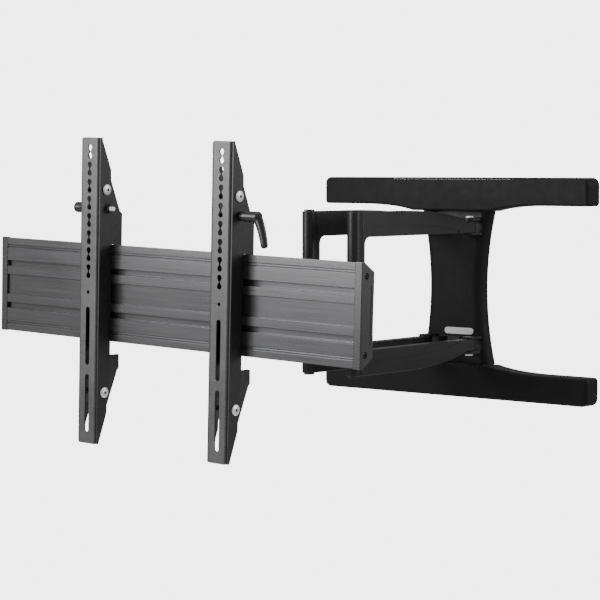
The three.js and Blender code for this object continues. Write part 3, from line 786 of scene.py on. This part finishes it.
column = skin([column_section(COLUMN["top"] * (i / 24 - 1)) for i in range(49)])
room = skin([column_section(-140 + 10 * i, COLUMN["wall"], 5) for i in range(29)])
windows = [block((-COLUMN["window"], -60, ARM_MIDDLE + level * COLUMN["window_from"]),
                 (COLUMN["window"], 5, level * 140)) for level in LEVELS.values()]
combine(column, [room] + windows)
finish_piece(column, "column_cover_piece", cover_plastic, "wall_unit", ["column_cover"])

badge_ends = [(x, BADGE["height"]) for x in (BADGE["left"], BADGE["right"])]
badge = prism(slot_outline(*badge_ends, BADGE["round"]), BADGE["back"], BADGE["front"], "y")
finish_piece(round_edges(badge, 0.3), "column_badge_piece", badge_finish, "wall_unit",
             ["column_badge"])

# %% [markdown]
# ## Pins and screws
#
# Everything that turns or holds here is round. A headed pin is turned once and put at all its places. The
# low domed heads have a six-sided socket, cut with a six-sided rod.

# %% Pins
SHOULDER = Vector((45.3, -40, ARM_MIDDLE))
ARM_LENGTH = 308
ELBOW_Y = SHOULDER.y - ARM_LENGTH
HEAD_Y = ELBOW_Y - ARM_LENGTH
SWIVEL_Y = -18
WALL_PIN = {"end": 85.5, "seat": 113.8}
ELBOW_PIN = {"half": 128.4, "head": 8.5, "head_height": 2.2}
YOKE_PIN = {"half": 50.2, "head": 8, "head_height": 2.5}


def headed_pin(sizes):
    """Pin with a soft-edged flat head at each end."""
    radius, soft = 5, 0.8
    seat, top = sizes["half"], sizes["half"] + sizes["head_height"]
    head = [(radius, seat), (sizes["head"], seat)] + arc(sizes["head"] - soft, top - soft, soft, 0, 90, 4)
    head.append((0, top))
    return turned([(r, -z) for r, z in reversed(head)] + head)


def wall_pin():
    """Pin with one head; its other end is plain and ends inside the lug."""
    end, seat = WALL_PIN["end"], WALL_PIN["seat"]
    shank = [(0, end), (4.5, end), (5, end + 0.5), (5, seat)]
    head = [(7, seat), (7, seat + 1.4)] + arc(5.9, seat + 1.4, 1.1, 0, 90, 5)[1:] + [(0, seat + 2.5)]
    return turned(shank + head)


def hex_socket(width, bottom, top):
    """Six-sided cutter for a socket."""
    return rod(width / math.sqrt(3), bottom, top, 6)


def pins(name, pin, places, turns, body, nodes, finish=zinc):
    """Copies of one pin or screw on one body."""
    copies = at_places(pin, places, turns)
    return finish_piece(roll(copies) if body in ROLLED else copies, name, finish, body, nodes)


wall_pins, wall_pin_turns, wall_pin_nodes = [], [], []
for side_name, side in SIDES.items():
    for level_name, level in LEVELS.items():
        wall_pins.append((side * SHOULDER.x, SHOULDER.y, ARM_MIDDLE))
        wall_pin_turns.append((0, 0 if level > 0 else math.pi, 0))
        wall_pin_nodes.append(f"{side_name}_{level_name}_wall_pin")
pins("wall_pins", wall_pin(), wall_pins, wall_pin_turns, "wall_unit", wall_pin_nodes)
for side_name, side in SIDES.items():
    elbow = (side * SHOULDER.x, ELBOW_Y, ARM_MIDDLE)
    pins(f"{side_name}_elbow_pin_piece", headed_pin(ELBOW_PIN), [elbow], None, f"{side_name}_inner_arm",
         [f"{side_name}_elbow_pin"], arm_paint)
yoke_pins = [(x, HEAD_Y + y, ARM_MIDDLE) for x, y in ((-SHOULDER.x, 0), (SHOULDER.x, 0), (0, SWIVEL_Y))]
pins("yoke_pins", headed_pin(YOKE_PIN), yoke_pins, None, "head_yoke",
     ["left_head_pin", "right_head_pin", "swivel_pin"])

# %% [markdown]
# ## Arms
#
# A first arm is a pair of castings on one elbow pin. Seen from the side a casting is a beam that narrows
# towards the wall and turns down into a post; seen from above it has a round barrel with a groove beside
# it. The shape they share when both outlines are swept through each other is the casting. A shallow panel
# below the middle of the beam leaves the long crease that runs along it.

# %% First arms
ARM = {
    "half": 10.5, "barrel": 11, "top": 128, "inner": 88.4, "hinge": 108, "hinge_run": 17.7, "taper": 190,
    "post": 15, "corner": 14, "knuckle": 42.4, "bore": 5.4, "panel": 0.9, "crease": 18.5,
}


def casting_plan():
    """Casting seen from above, round at the wall and grooved beside the barrel."""
    half, end = ARM["half"], -ARM_LENGTH
    opening = math.degrees(math.asin(4 / ARM["barrel"]))
    groove = [(half, end + 9), (half - 2.3, end + 6.5)]
    barrel = arc(0, end, ARM["barrel"], opening, -180 - opening, 30)
    return arc(0, 0, half, 180, 0, 24) + groove + barrel + [(-x, y) for x, y in reversed(groove)]


def casting_side(level):
    """Casting seen from the side, as (y, z)."""
    past, post = 15, -ARM_LENGTH + ARM["post"]
    taper_from = (-ARM["hinge_run"], ARM["hinge"])
    top = [(past, ARM["inner"]), (past, ARM["hinge"])]
    top += bow(taper_from, (-ARM["taper"] * 0.42, ARM["top"]), (-ARM["taper"], ARM["top"]), 28)
    end = [(-ARM_LENGTH - past, ARM["top"]), (-ARM_LENGTH - past, ARM["knuckle"]), (post, ARM["knuckle"])]
    inside = (post, ARM["inner"])
    fillet = bow((post, ARM["inner"] - ARM["corner"]), inside, (post + ARM["corner"], ARM["inner"]), 12)
    return mirror_level(top + end + fillet, level)


def panel_outline(level):
    """Recessed panel along the beam, ending in a curve at both ends."""
    near, far = -ARM_LENGTH + ARM["post"] + 14, -46
    low, crease = ARM["inner"] - 3, ARM["inner"] + ARM["crease"]
    points = [(near, low), (near + 3, crease)]
    points += bow((near + 3, crease), (far - 60, crease + 1), (far, low + 8), 24)[1:] + [(far + 4, low)]
    return mirror_level(points, level)


def bores(y_places):
    """Upright cutters for pins, longer than any piece is tall."""
    return [moved(rod(ARM["bore"], -150, 150), (0, y, 0)) for y in y_places]


def arm_casting(level, side):
    """One casting of a first arm."""
    beam = prism(casting_side(level), -20, 20, "x")
    combine(beam, [prism(casting_plan(), -150, 150, "z")], "INTERSECT")
    round_edges(beam, 1.5, 3, 40)
    floor_of_panel = ARM["half"] - ARM["panel"]
    panels = [prism(panel_outline(level), face * floor_of_panel, face * 20, "x") for face in (-1, 1)]
    combine(beam, panels + bores((0, -ARM_LENGTH)))
    return moved(beam, (side * SHOULDER.x, SHOULDER.y, ARM_MIDDLE))


for side_name, side in SIDES.items():
    for level_name, level in LEVELS.items():
        node = f"{side_name}_arm_{level_name}_casting"
        finish_piece(arm_casting(level, side), f"{node}_piece", arm_paint, f"{side_name}_inner_arm",
                     [node])

# %% [markdown]
# A second arm is one straight beam with pockets between its ribs. The pockets of one face are one cutter
# repeated along the beam by the row tree.

# %% Second arms
POCKET = {"first": -72, "length": 80, "step": 82, "count": 3, "rim": 9, "floor": 5}


def outer_arm(side):
    """One second arm with its pockets."""
    height = ARM["knuckle"] - GAP
    beam = prism(slot_outline((0, 0), (0, -ARM_LENGTH), ARM["half"], 20), -height, height, "z")
    round_edges(beam, 1.4, 3, 40)
    outline = soften(rectangle(POCKET["length"] / 2, height - POCKET["rim"]), 7)
    pockets = []
    for face in (-1, 1):
        pocket = prism(outline, face * POCKET["floor"], face * 16, "x")
        pockets.append(in_a_row(pocket, POCKET["count"], (0, POCKET["first"], 0), (0, -POCKET["step"], 0)))
    combine(beam, pockets + bores((0, -ARM_LENGTH)))
    return moved(beam, (side * SHOULDER.x, ELBOW_Y, ARM_MIDDLE))


for side_name, side in SIDES.items():
    node = f"{side_name}_outer_arm"
    finish_piece(outer_arm(side), f"{node}_piece", arm_paint, node, [node])

# %% [markdown]
# ## Yoke and swivel
#
# Two plates on a post hold both second arms and, in front, the swivel pin. The carriage turns on that pin
# and is bolted to the back of the rail.

# %% Yoke and carriage
YOKE = {"inner": 42.4, "plate": 7, "lobe": 12.5, "nose": 10, "post": 21, "post_front": -8, "post_back": 8.5}
CARRIAGE = {
    "half": 45, "height": 52, "lift": 9, "front": -35.6, "thickness": 5.6, "bolt_x": 34, "bolt_z": 42,
    "bolt_hole": 3.4, "barrel": 9, "barrel_half": 42, "neck": 6,
}


def head_yoke():
    """Two plates joined by a post, with three bores."""
    plan = arc(SHOULDER.x, 0, YOKE["lobe"], -90, 90) + arc(-SHOULDER.x, 0, YOKE["lobe"], 90, 270)
    plan += arc(0, SWIVEL_Y, YOKE["nose"], 200, 340)
    inner, outer = YOKE["inner"], YOKE["inner"] + YOKE["plate"]
    plates = [prism(plan, level * inner, level * outer, "z") for level in LEVELS.values()]
    half = YOKE["post"]
    post = block((-half, YOKE["post_front"], -inner - 1), (half, YOKE["post_back"], inner + 1))
    body = combine(post, plates, "UNION")
    arm_bores = [moved(bore, (side * SHOULDER.x, 0, 0)) for side, bore in zip(SIDES.values(), bores((0, 0)))]
    combine(body, arm_bores + bores([SWIVEL_Y]))
    return moved(round_edges(body, 0.9), (0, HEAD_Y, ARM_MIDDLE))


def swivel_carriage():
    """Upright barrel and neck on a sheet that is rolled with the rail."""
    half = CARRIAGE["barrel_half"]
    barrel = moved(rod(CARRIAGE["barrel"], -half, half), (0, SWIVEL_Y, 0))
    neck = block((-CARRIAGE["neck"], CARRIAGE["front"] + 1, -half), (CARRIAGE["neck"], SWIVEL_Y, half))
    outline = soften(rectangle(CARRIAGE["half"], CARRIAGE["height"], CARRIAGE["lift"]), 8)
    sheet = prism(outline, CARRIAGE["front"], CARRIAGE["front"] + CARRIAGE["thickness"], "y")
    holes = []
    for side in SIDES.values():
        for level in LEVELS.values():
            place = (side * CARRIAGE["bolt_x"], -30, CARRIAGE["lift"] + level * CARRIAGE["bolt_z"])
            holes.append(moved(rod(CARRIAGE["bolt_hole"], -20, 20), place, OUT))
    combine(sheet, holes)
    lift = (0, 0, ARM_MIDDLE)
    body = combine(roll(moved(sheet, lift)), [moved(neck, lift), moved(barrel, lift)], "UNION")
    combine(body, bores([SWIVEL_Y]))
    return moved(round_edges(body, 0.7), (0, HEAD_Y, 0))


finish_piece(head_yoke(), "head_yoke_piece", steel_paint, "head_yoke", ["head_yoke"])
finish_piece(swivel_carriage(), "swivel_carriage_piece", steel_paint, "head",
             ["swivel_carriage"])

# %% [markdown]
# ## The rail
#
# The rail is an aluminium extrusion: one section with grooves in front, T-slots and chamfers behind and
# hollow chambers inside, pushed straight along X. This is just what a Geometry Nodes tree can do: it fills
# the drawn section, extrudes it by its length and closes both ends. The section is drawn flat and then
# stood up.

# %% Rail
RAIL = {
    "half": 353.5, "height": 71.25, "depth": 26, "front": -718, "centre": 13, "chamfer": 14, "flat": 5,
    "cap": 12, "slot": 42, "slot_half": 4, "slot_depth": 8,
}

extrusion_tree = ShapeTree("extrusion", Length="NodeSocketFloat")
section_lines = extrusion_tree.given("Geometry")
section_curves = extrusion_tree.node("GeometryNodeMeshToCurve", inputs={"Mesh": section_lines})
section_face = extrusion_tree.node("GeometryNodeFillCurve", {"mode": "NGONS"}, {"Curve": section_curves})
pushed = extrusion_tree.node("GeometryNodeExtrudeMesh", {"mode": "FACES"}, {
    "Mesh": section_face, "Offset": (0, 0, 1), "Offset Scale": extrusion_tree.given("Length"),
    "Individual": False})
back_face = extrusion_tree.node("GeometryNodeFlipFaces", inputs={"Mesh": section_face})
both_faces = extrusion_tree.node("GeometryNodeJoinGeometry", inputs={"Geometry": pushed})
extrusion_tree.nodes.links.new(back_face.socket, both_faces.socket.node.inputs["Geometry"])
closed = extrusion_tree.node("GeometryNodeMergeByDistance", inputs={"Geometry": both_faces, "Distance": 1e-6})
extrusion_tree.end(closed)


def rail_section():
    """Closed outline as (depth behind the front, height), from the upper half and its mirror image."""
    slot_low, slot_high = RAIL["slot"] - RAIL["slot_half"], RAIL["slot"] + RAIL["slot_half"]
    slot_floor = RAIL["depth"] - RAIL["slot_depth"]
    upper = []
    for depth, low, high in ((3.5, 0, 15.1), (6, 27.8, 36.5), (1.2, 56.2, 57.4), (1.2, 59.4, 60.6)):
        groove = [(0, low), (depth, low), (depth, high), (0, high)]
        upper += groove if low else groove[2:]
    upper += [(0, RAIL["height"]), (RAIL["flat"], RAIL["height"]),
              (RAIL["depth"], RAIL["height"] - RAIL["chamfer"])]
    upper += [(RAIL["depth"], slot_high), (slot_floor, slot_high), (slot_floor, slot_low),
              (RAIL["depth"], slot_low)]
    return soften(upper + mirror_level(reversed(upper), -1), 0.5, 3)


def rail_chambers():
    """Hollow chambers of the section."""
    boxes = [(6.5, 22.5, -24, 24)]
    for level in LEVELS.values():
        boxes += [(9, 22.5, level * 27, level * 34.5), (4, 15.5, level * 41, level * 62)]
    return [soften([(near, low), (far, low), (far, high), (near, high)], 1, 3)
            for near, far, low, high in boxes]


def outline_mesh(loops):
    """Mesh of closed loops of edges in the XY plane, in millimetres."""
    vertices, edges = [], []
    for loop in loops:
        first = len(vertices)
        vertices += [(a * MM, b * MM, 0) for a, b in loop]
        edges += [(first + i, first + (i + 1) % len(loop)) for i in range(len(loop))]
    mesh = bpy.data.meshes.new("outline")
    mesh.from_pydata(vertices, edges, [])
    return mesh


rail_length = 2 * (RAIL["half"] - RAIL["cap"] - GAP)
rail = grow(add_object("rail", outline_mesh([rail_section()] + rail_chambers())), extrusion_tree,
            Length=rail_length * MM)
stand_up = Matrix(((0, 0, 1, 0), (1, 0, 0, 0), (0, 1, 0, 0), (0, 0, 0, 1)))
moved(rail, (-rail_length / 2, RAIL["front"], RAIL["centre"]), stand_up)
finish_piece(roll(rail), "rail_piece", rail_finish, "head", ["rail"])

# %% [markdown]
# The end caps close the extrusion. They follow its outline with a small rim, the side has a shallow field,
# and two sunk holes take the screws.

# %% End caps and their screws
CAP = {"rim": 0.8, "screw_depth": 9.5, "screw_height": 53, "well": 4.6, "well_floor": 3.4, "field": 0.6}


def rail_prism(outline, side, low, high):
    """Outline in (depth, height) of the rail, swept between two distances from the end of the rail."""
    points = [(RAIL["front"] + depth, RAIL["centre"] + height) for depth, height in outline]
    return prism(points, side * (RAIL["half"] + low), side * (RAIL["half"] + high), "x")


def cap_screw_place(side, level):
    """Middle of a screw's head on the outside of an end cap."""
    height = RAIL["centre"] + level * CAP["screw_height"]
    return (side * RAIL["half"], RAIL["front"] + CAP["screw_depth"], height)


def end_cap(side):
    """Cap with a shallow field, a notch along its back edge and two wells for screws."""
    front, back, top = -CAP["rim"], RAIL["depth"] + CAP["rim"], RAIL["height"] + CAP["rim"]
    lower = [(front, -top), (RAIL["flat"], -top), (back, -top + RAIL["chamfer"])]
    body = rail_prism(soften(lower + mirror_level(reversed(lower), -1), 1.2), side, -RAIL["cap"], 0)
    round_edges(body, 0.8, 3, 40)
    field = soften([(3.5, -40), (21, -40), (21, 40), (3.5, 40)], 2)
    notch = [(back - 1, -27), (back + 3, -29), (back + 3, 29), (back - 1, 27)]
    cutters = [rail_prism(field, side, -CAP["field"], 5), rail_prism(notch, side, -20, 5)]
    for level in LEVELS.values():
        place = cap_screw_place(side, level)
        cutters.append(moved(rod(CAP["well"], -CAP["well_floor"], CAP["well_floor"]), place, ALONG_X))
        cutters.append(moved(rod(2, -20, 20), place, ALONG_X))
    return round_edges(combine(body, cutters), 0.25, 2, 50)


def cap_screw():
    """Low ring-shaped head with a deep socket, at the mouth of its well."""
    profile = [(0, -30), (1.6, -30), (1.6, -3), (3.9, -3), (3.9, -1.4)]
    profile += arc(2.9, -1.6, 1.0, 10, 90, 5) + [(2.3, -0.6), (0, -0.6)]
    return combine(turned(profile), [hex_socket(3.0, -2.2, 2)])


screw_places, screw_turns, screw_nodes = [], [], []
for side_name, side in SIDES.items():
    node = f"{side_name}_end_cap"
    finish_piece(roll(end_cap(side)), f"{node}_piece", rail_finish, "head", [node])
    for level_name, level in LEVELS.items():
        screw_places.append(cap_screw_place(side, level))
        screw_turns.append((0, side * math.pi / 2, 0))
        screw_nodes.append(f"{side_name}_{level_name}_cap_screw")
pins("end_cap_screws", cap_screw(), screw_places, screw_turns, "head", screw_nodes, steel_paint)

# %% Carriage bolts
def carriage_bolt():
    """Six-sided head on a shank, the head's rim turned down."""
    head = rod(6.2, 0.4, 4, 6)
    dome = turned([(0, -1), (6.6, -1), (6.6, 2.9), (5.2, 4), (0, 4)], 40)
    combine(head, [dome], "INTERSECT")
    return combine(round_edges(head, 0.2, 2), [rod(3, -12.1, 1)], "UNION")


sheet_back = RAIL["front"] + RAIL["depth"] + GAP + CARRIAGE["thickness"]
bolt_places, bolt_nodes = [], []
for side_name, side in SIDES.items():
    for level_name, level in LEVELS.items():
        bolt_places.append((side * CARRIAGE["bolt_x"], sheet_back, RAIL["centre"] + level * RAIL["slot"]))
        bolt_nodes.append(f"{side_name}_{level_name}_carriage_bolt")
pins("carriage_bolts", carriage_bolt(), bolt_places, [(-math.pi / 2, 0, 0)] * 4, "head", bolt_nodes)

# %% [markdown]
# ## Brackets
#
# Each bracket is folded from two sheets. The outer one has two side plates, cut with slopes, steps and a
# notch that hooks over the rail, and a web between them. The inner one is the long channel with the column
# of screw holes. The holes are keyhole pairs: two round holes that taper towards each other. One pair is
# drawn and the row tree repeats it down the face.

# %% Hook brackets
BRACKET = {
    "face": -746, "centre": 16, "half": 16.75, "half_height": 225, "sheet": 2.5, "rail_face": 27.6,
    "bolt_depth": 15.5, "bolt_height": 149, "bolt_hole": 4.3, "clamp_depth": 19, "clamp_height": 121.5,
}
PLACES = {"left": -136, "right": 123}
LEVER_REACH = {"left": 25, "right": 35}
OUTER_HALF = BRACKET["half"] + GAP + BRACKET["sheet"]


def behind_face(points):
    """Turns (depth behind the face, height on the bracket) into (y, z)."""
    return [(BRACKET["face"] + depth, BRACKET["centre"] + height) for depth, height in points]


def through_hole(depth, height, radius):
    """Round cutter along X through a bracket."""
    (y, z), = behind_face([(depth, height)])
    return moved(rod(radius, -40, 40), (0, y, z), ALONG_X)


def hook_outline():
    """Side plate: sloping ends, a step at each slope, and the notch for the rail."""
    rail_top = RAIL["centre"] + RAIL["height"] - BRACKET["centre"] + GAP
    face, flat, back = BRACKET["rail_face"], RAIL["front"] - BRACKET["face"] + RAIL["flat"], 49
    slope = RAIL["chamfer"] / (RAIL["depth"] - RAIL["flat"])
    upper = [(3, 223.5), (6, 223.5), (25, 178), (25.3, 163), (44.5, 117), (back, 114.5)]
    notch = [(back, rail_top - (back - flat) * slope), (flat, rail_top), (face, rail_top), (face, -94)]
    lower = [(46, -94), (46.5, -115), (43.5, -117), (22.5, -168), (22.2, -180), (6, -225), (3, -225)]
    return soften(upper + notch + lower, 1.8)


def hook_bracket(x):
    """Two side plates and the web between them."""
    inner = OUTER_HALF - BRACKET["sheet"]
    face = BRACKET["rail_face"]
    web = [(face - BRACKET["sheet"], -88), (face, -88), (face, 66.6), (face - BRACKET["sheet"], 66.6)]
    body = prism(behind_face(web), -inner - 1, inner + 1, "x")
    outline = behind_face(hook_outline())
    combine(body, [prism(outline, side * inner, side * OUTER_HALF, "x") for side in SIDES.values()], "UNION")
    holes = [through_hole(BRACKET["bolt_depth"], level * BRACKET["bolt_height"], BRACKET["bolt_hole"])
             for level in (-1, 1)]
    combine(body, holes + [through_hole(BRACKET["clamp_depth"], BRACKET["clamp_height"], 3.6)])
    return moved(round_edges(body, 0.4, 2), (x, 0, 0))


for side_name, x in PLACES.items():
    node = f"{side_name}_hook_bracket"
    finish_piece(roll(hook_bracket(x)), f"{node}_piece", hook_paint, f"{side_name}_hook", [node])

# %% Screen channels
HOLES = {"first": 210.5, "pitch": 12.5, "pairs": 8, "radius": 4.1, "slit": 0.9, "slot": 4, "small": 2.6}
TILT = math.radians(4)


def channel_section():
    """Folded sheet seen from above: face, two rounded folds and two lips, as (x, y)."""
    half, sheet, face, fold = BRACKET["half"], BRACKET["sheet"], BRACKET["face"], 3
    lip, corner, bend = face + 10, half - fold, face + fold
    outside = arc(-corner, bend, fold, 180, 270, 6) + arc(corner, bend, fold, 270, 360, 6)
    inside = arc(corner, bend, fold - sheet, 360, 270, 3) + arc(-corner, bend, fold - sheet, 270, 180, 3)
    return [(-half, lip)] + outside + [(half, lip), (half - sheet, lip)] + inside + [(-half + sheet, lip)]


def face_cutter(outline):
    """Outline swept through the face of a channel."""
    return prism(outline, BRACKET["face"] - 5, BRACKET["face"] + 8, "y")


def keyhole_pair():
    """Cutter for two round holes that taper towards each other."""
    step, radius, slit = HOLES["pitch"] / 2, HOLES["radius"], HOLES["slit"]
    upper = [(slit, 0)] + arc(0, step, radius, -42, 222, 24) + [(-slit, 0)]
    lower = mirror_level(reversed(upper), -1)
    return face_cutter(upper[:-1] + lower[:-1])


def ear(points, side):
    """Flat tab inside one lip of the channel."""
    inner = BRACKET["half"] - BRACKET["sheet"]
    return prism(behind_face(soften(points, 2)), side * inner, side * BRACKET["half"], "x")


def clamp_slot():
    """Cutter along X for the clamp bolt's path as the channel tilts about its lower bolt, drawn straight."""
    pivot = Vector((BRACKET["bolt_depth"], -BRACKET["bolt_height"]))
    start = Vector((BRACKET["clamp_depth"], BRACKET["clamp_height"]))
    swung = start - pivot
    swung.rotate(Matrix.Rotation(-TILT, 2))
    return prism(slot_outline(*behind_face([start, pivot + swung]), 3.8), -40, 40, "x")


def screen_channel(x):
    """Channel with its ears, holes and slots."""
    middle = BRACKET["centre"]
    body = prism(channel_section(), middle - BRACKET["half_height"], middle + BRACKET["half_height"], "z")
    ears = []
    for side in SIDES.values():
        ears.append(ear([(4, -166), (18, -166), (23, -158), (23, -140), (18, -132), (4, -132)], side))
        ears.append(ear([(4, 102), (43.6, 102), (43.6, 119), (37, 134.5), (4, 139.5)], side))
    combine(body, ears, "UNION")
    top_pair = middle + HOLES["first"] - HOLES["pitch"] / 2
    cutters = [in_a_row(keyhole_pair(), HOLES["pairs"], (0, 0, top_pair), (0, 0, -2 * HOLES["pitch"]))]
    cutters.append(moved(rod(HOLES["small"], -10, 10), (0, BRACKET["face"], middle - 1.5), OUT))
    for top, bottom in ((-27, -105), (-126, -204)):
        cutters.append(face_cutter(slot_outline((0, middle + bottom), (0, middle + top), HOLES["slot"])))
    cutters.append(through_hole(BRACKET["bolt_depth"], -BRACKET["bolt_height"], BRACKET["bolt_hole"]))
    combine(body, cutters + [clamp_slot()])
    return moved(round_edges(body, 0.3, 2), (x, 0, 0))


for side_name, x in PLACES.items():
    node = f"{side_name}_screen_channel"
    finish_piece(roll(screen_channel(x)), f"{node}_piece", face_paint, f"{side_name}_screen",
                 [node])

# %% [markdown]
# ## Bolts, clamps and levers
#
# The bright bolts have a domed head with a small socket on one side and a domed nut on the other. The clamp
# is a threaded rod with a black flanged nut, and a black lever on the outer side: a collar, a tapering hub
# with a screw in its end, and a handle that leans away from the bracket.

# %% Bright bolts
SEAT = OUTER_HALF + GAP


def domed_bolt():
    """Bolt through both side plates, its head towards +X once it is turned."""
    head = [(7.7, SEAT), (7.7, SEAT + 1.9)] + arc(0, SEAT - 16.5, 20, 67.5, 90, 8)[1:]
    nut = [(0, -SEAT - 5)] + arc(0, -SEAT - 0.6, 4.4, 270, 330, 5) + [(6.2, -SEAT - 1.8), (6.2, -SEAT)]
    return combine(turned(nut + [(4, -SEAT), (4, SEAT)] + head), [hex_socket(4.4, SEAT - 3, SEAT + 9)])


for side_name, x in PLACES.items():
    depth, height = BRACKET["bolt_depth"], BRACKET["bolt_height"]
    places = [(x, y, z) for y, z in behind_face([(depth, height), (depth, -height)])]
    pins(f"{side_name}_bright_bolts", domed_bolt(), places, [(0, math.pi / 2, 0)] * 2, f"{side_name}_hook",
         [f"{side_name}_spacer_bolt", f"{side_name}_pivot_bolt"])

# %% Clamps and levers
ROD_RADIUS = 3.3


def thread(low, high):
    """Profile of thread ridges between two heights."""
    pitch, valley = 0.7, 2.9
    ridges = []
    for i in range(round((high - low) / pitch)):
        ridges += [(ROD_RADIUS, low + pitch * i), (valley, low + pitch * (i + 0.5))]
    return ridges


def clamp_rod():
    """Threaded rod, drawn upright: its bare end sticks out of the nut, below."""
    below = [(0, -SEAT - 12), (2.7, -SEAT - 12)] + thread(-SEAT - 11.4, -SEAT - 5)
    above = thread(SEAT + 1, SEAT + 10) + [(3.1, SEAT + 11), (0, SEAT + 11)]
    return turned(below + [(ROD_RADIUS, -SEAT - 4.8)] + above)


def clamp_nut():
    """Six-sided nut with a flange, drawn upright below the lower plate."""
    shape = turned([(0, -SEAT - 5), (5.2, -SEAT - 5), (6.5, -SEAT - 4.1), (6.5, -SEAT), (0, -SEAT)])
    nut = combine(rod(6.4, -SEAT - 5, -SEAT - 0.8, 6), [shape], "INTERSECT")
    flange = turned([(0, -SEAT - 1.4), (6.9, -SEAT - 1.4), (7.4, -SEAT - 0.9), (7.4, -SEAT), (0, -SEAT)])
    combine(nut, [flange], "UNION")
    return round_edges(combine(nut, [rod(3.6, -SEAT - 8, 0)]), 0.15, 2)


def lever_hub(reach):
    """Collar, tapering hub and round end with a sunk screw, drawn upright."""
    foot = OUTER_HALF + 2 * GAP
    end = foot + reach
    bore = [(0, foot + 15), (3.7, foot + 15), (3.7, foot)]
    collar = [(6.4, foot), (6.8, foot + 0.4), (6.8, foot + 6.6), (6.4, foot + 7)]
    taper = [(6.4, foot + 8), (7.8, foot + 8.6), (7.5, end - 11), (7.9, end - 8)]
    taper += arc(5.4, end - 2.6, 2.5, 0, 80, 6)
    screw = [(3.6, end - 0.1), (3.5, end - 1.3), (1.8, end - 1.3), (1.7, end - 2.1), (0, end - 2.1)]
    return turned(bore + collar + taper + screw)


def lever_handle(side, reach):
    """Handle skinned over oval rings along a curve that leans outwards; its last rings close the tip."""
    end = OUTER_HALF + 2 * GAP + reach
    steps = 14
    path = [Vector(point) for point in bow((end - 5.5, 1), (end + 4.5, -13), (end + 9.6, -39), steps)]
    stations = []
    for i, middle in enumerate(path):
        run = (path[min(steps, i + 1)] - path[max(0, i - 1)]).normalized()
        stations.append((middle, run, 7.4 - 1.9 * i / steps, 6.4 - 1.8 * i / steps))
    tip, run, wide, thick = stations[-1]
    for step, shrink in ((1.6, 0.92), (2.9, 0.72), (3.6, 0.4)):
        stations.append((tip + run * step, run, wide * shrink, thick * shrink))
    turns = [2 * math.pi * i / 20 for i in range(20)]
    rings = []
    for middle, run, wide, thick in stations:
        rings.append([(side * (middle.x - run.y * wide * math.cos(t)), thick * math.sin(t),
                       middle.y + run.x * wide * math.cos(t)) for t in turns])
    return skin(rings)


for side_name, side in SIDES.items():
    (y, z), = behind_face([(BRACKET["clamp_depth"], BRACKET["clamp_height"])])
    place = (PLACES[side_name], y, z)
    turn = ALONG_X if side > 0 else AGAINST_X
    hook_body = f"{side_name}_hook"
    bolt, nut = roll(moved(clamp_rod(), place, turn)), roll(moved(clamp_nut(), place, turn))
    finish_piece(bolt, f"{side_name}_clamp_bolt_piece", zinc, hook_body, [f"{side_name}_clamp_bolt"])
    finish_piece(nut, f"{side_name}_clamp_nut_piece", steel_paint, hook_body,
                 [f"{side_name}_clamp_nut"])
    reach = LEVER_REACH[side_name]
    lever = combine(moved(lever_hub(reach), turn=turn), [lever_handle(side, reach)], "UNION")
    swing = Matrix() if side > 0 else OUT
    finish_piece(roll(moved(lever, place, swing)), f"{side_name}_clamp_lever_piece", lever_plastic,
                 f"{side_name}_lever", [f"{side_name}_clamp_lever"])
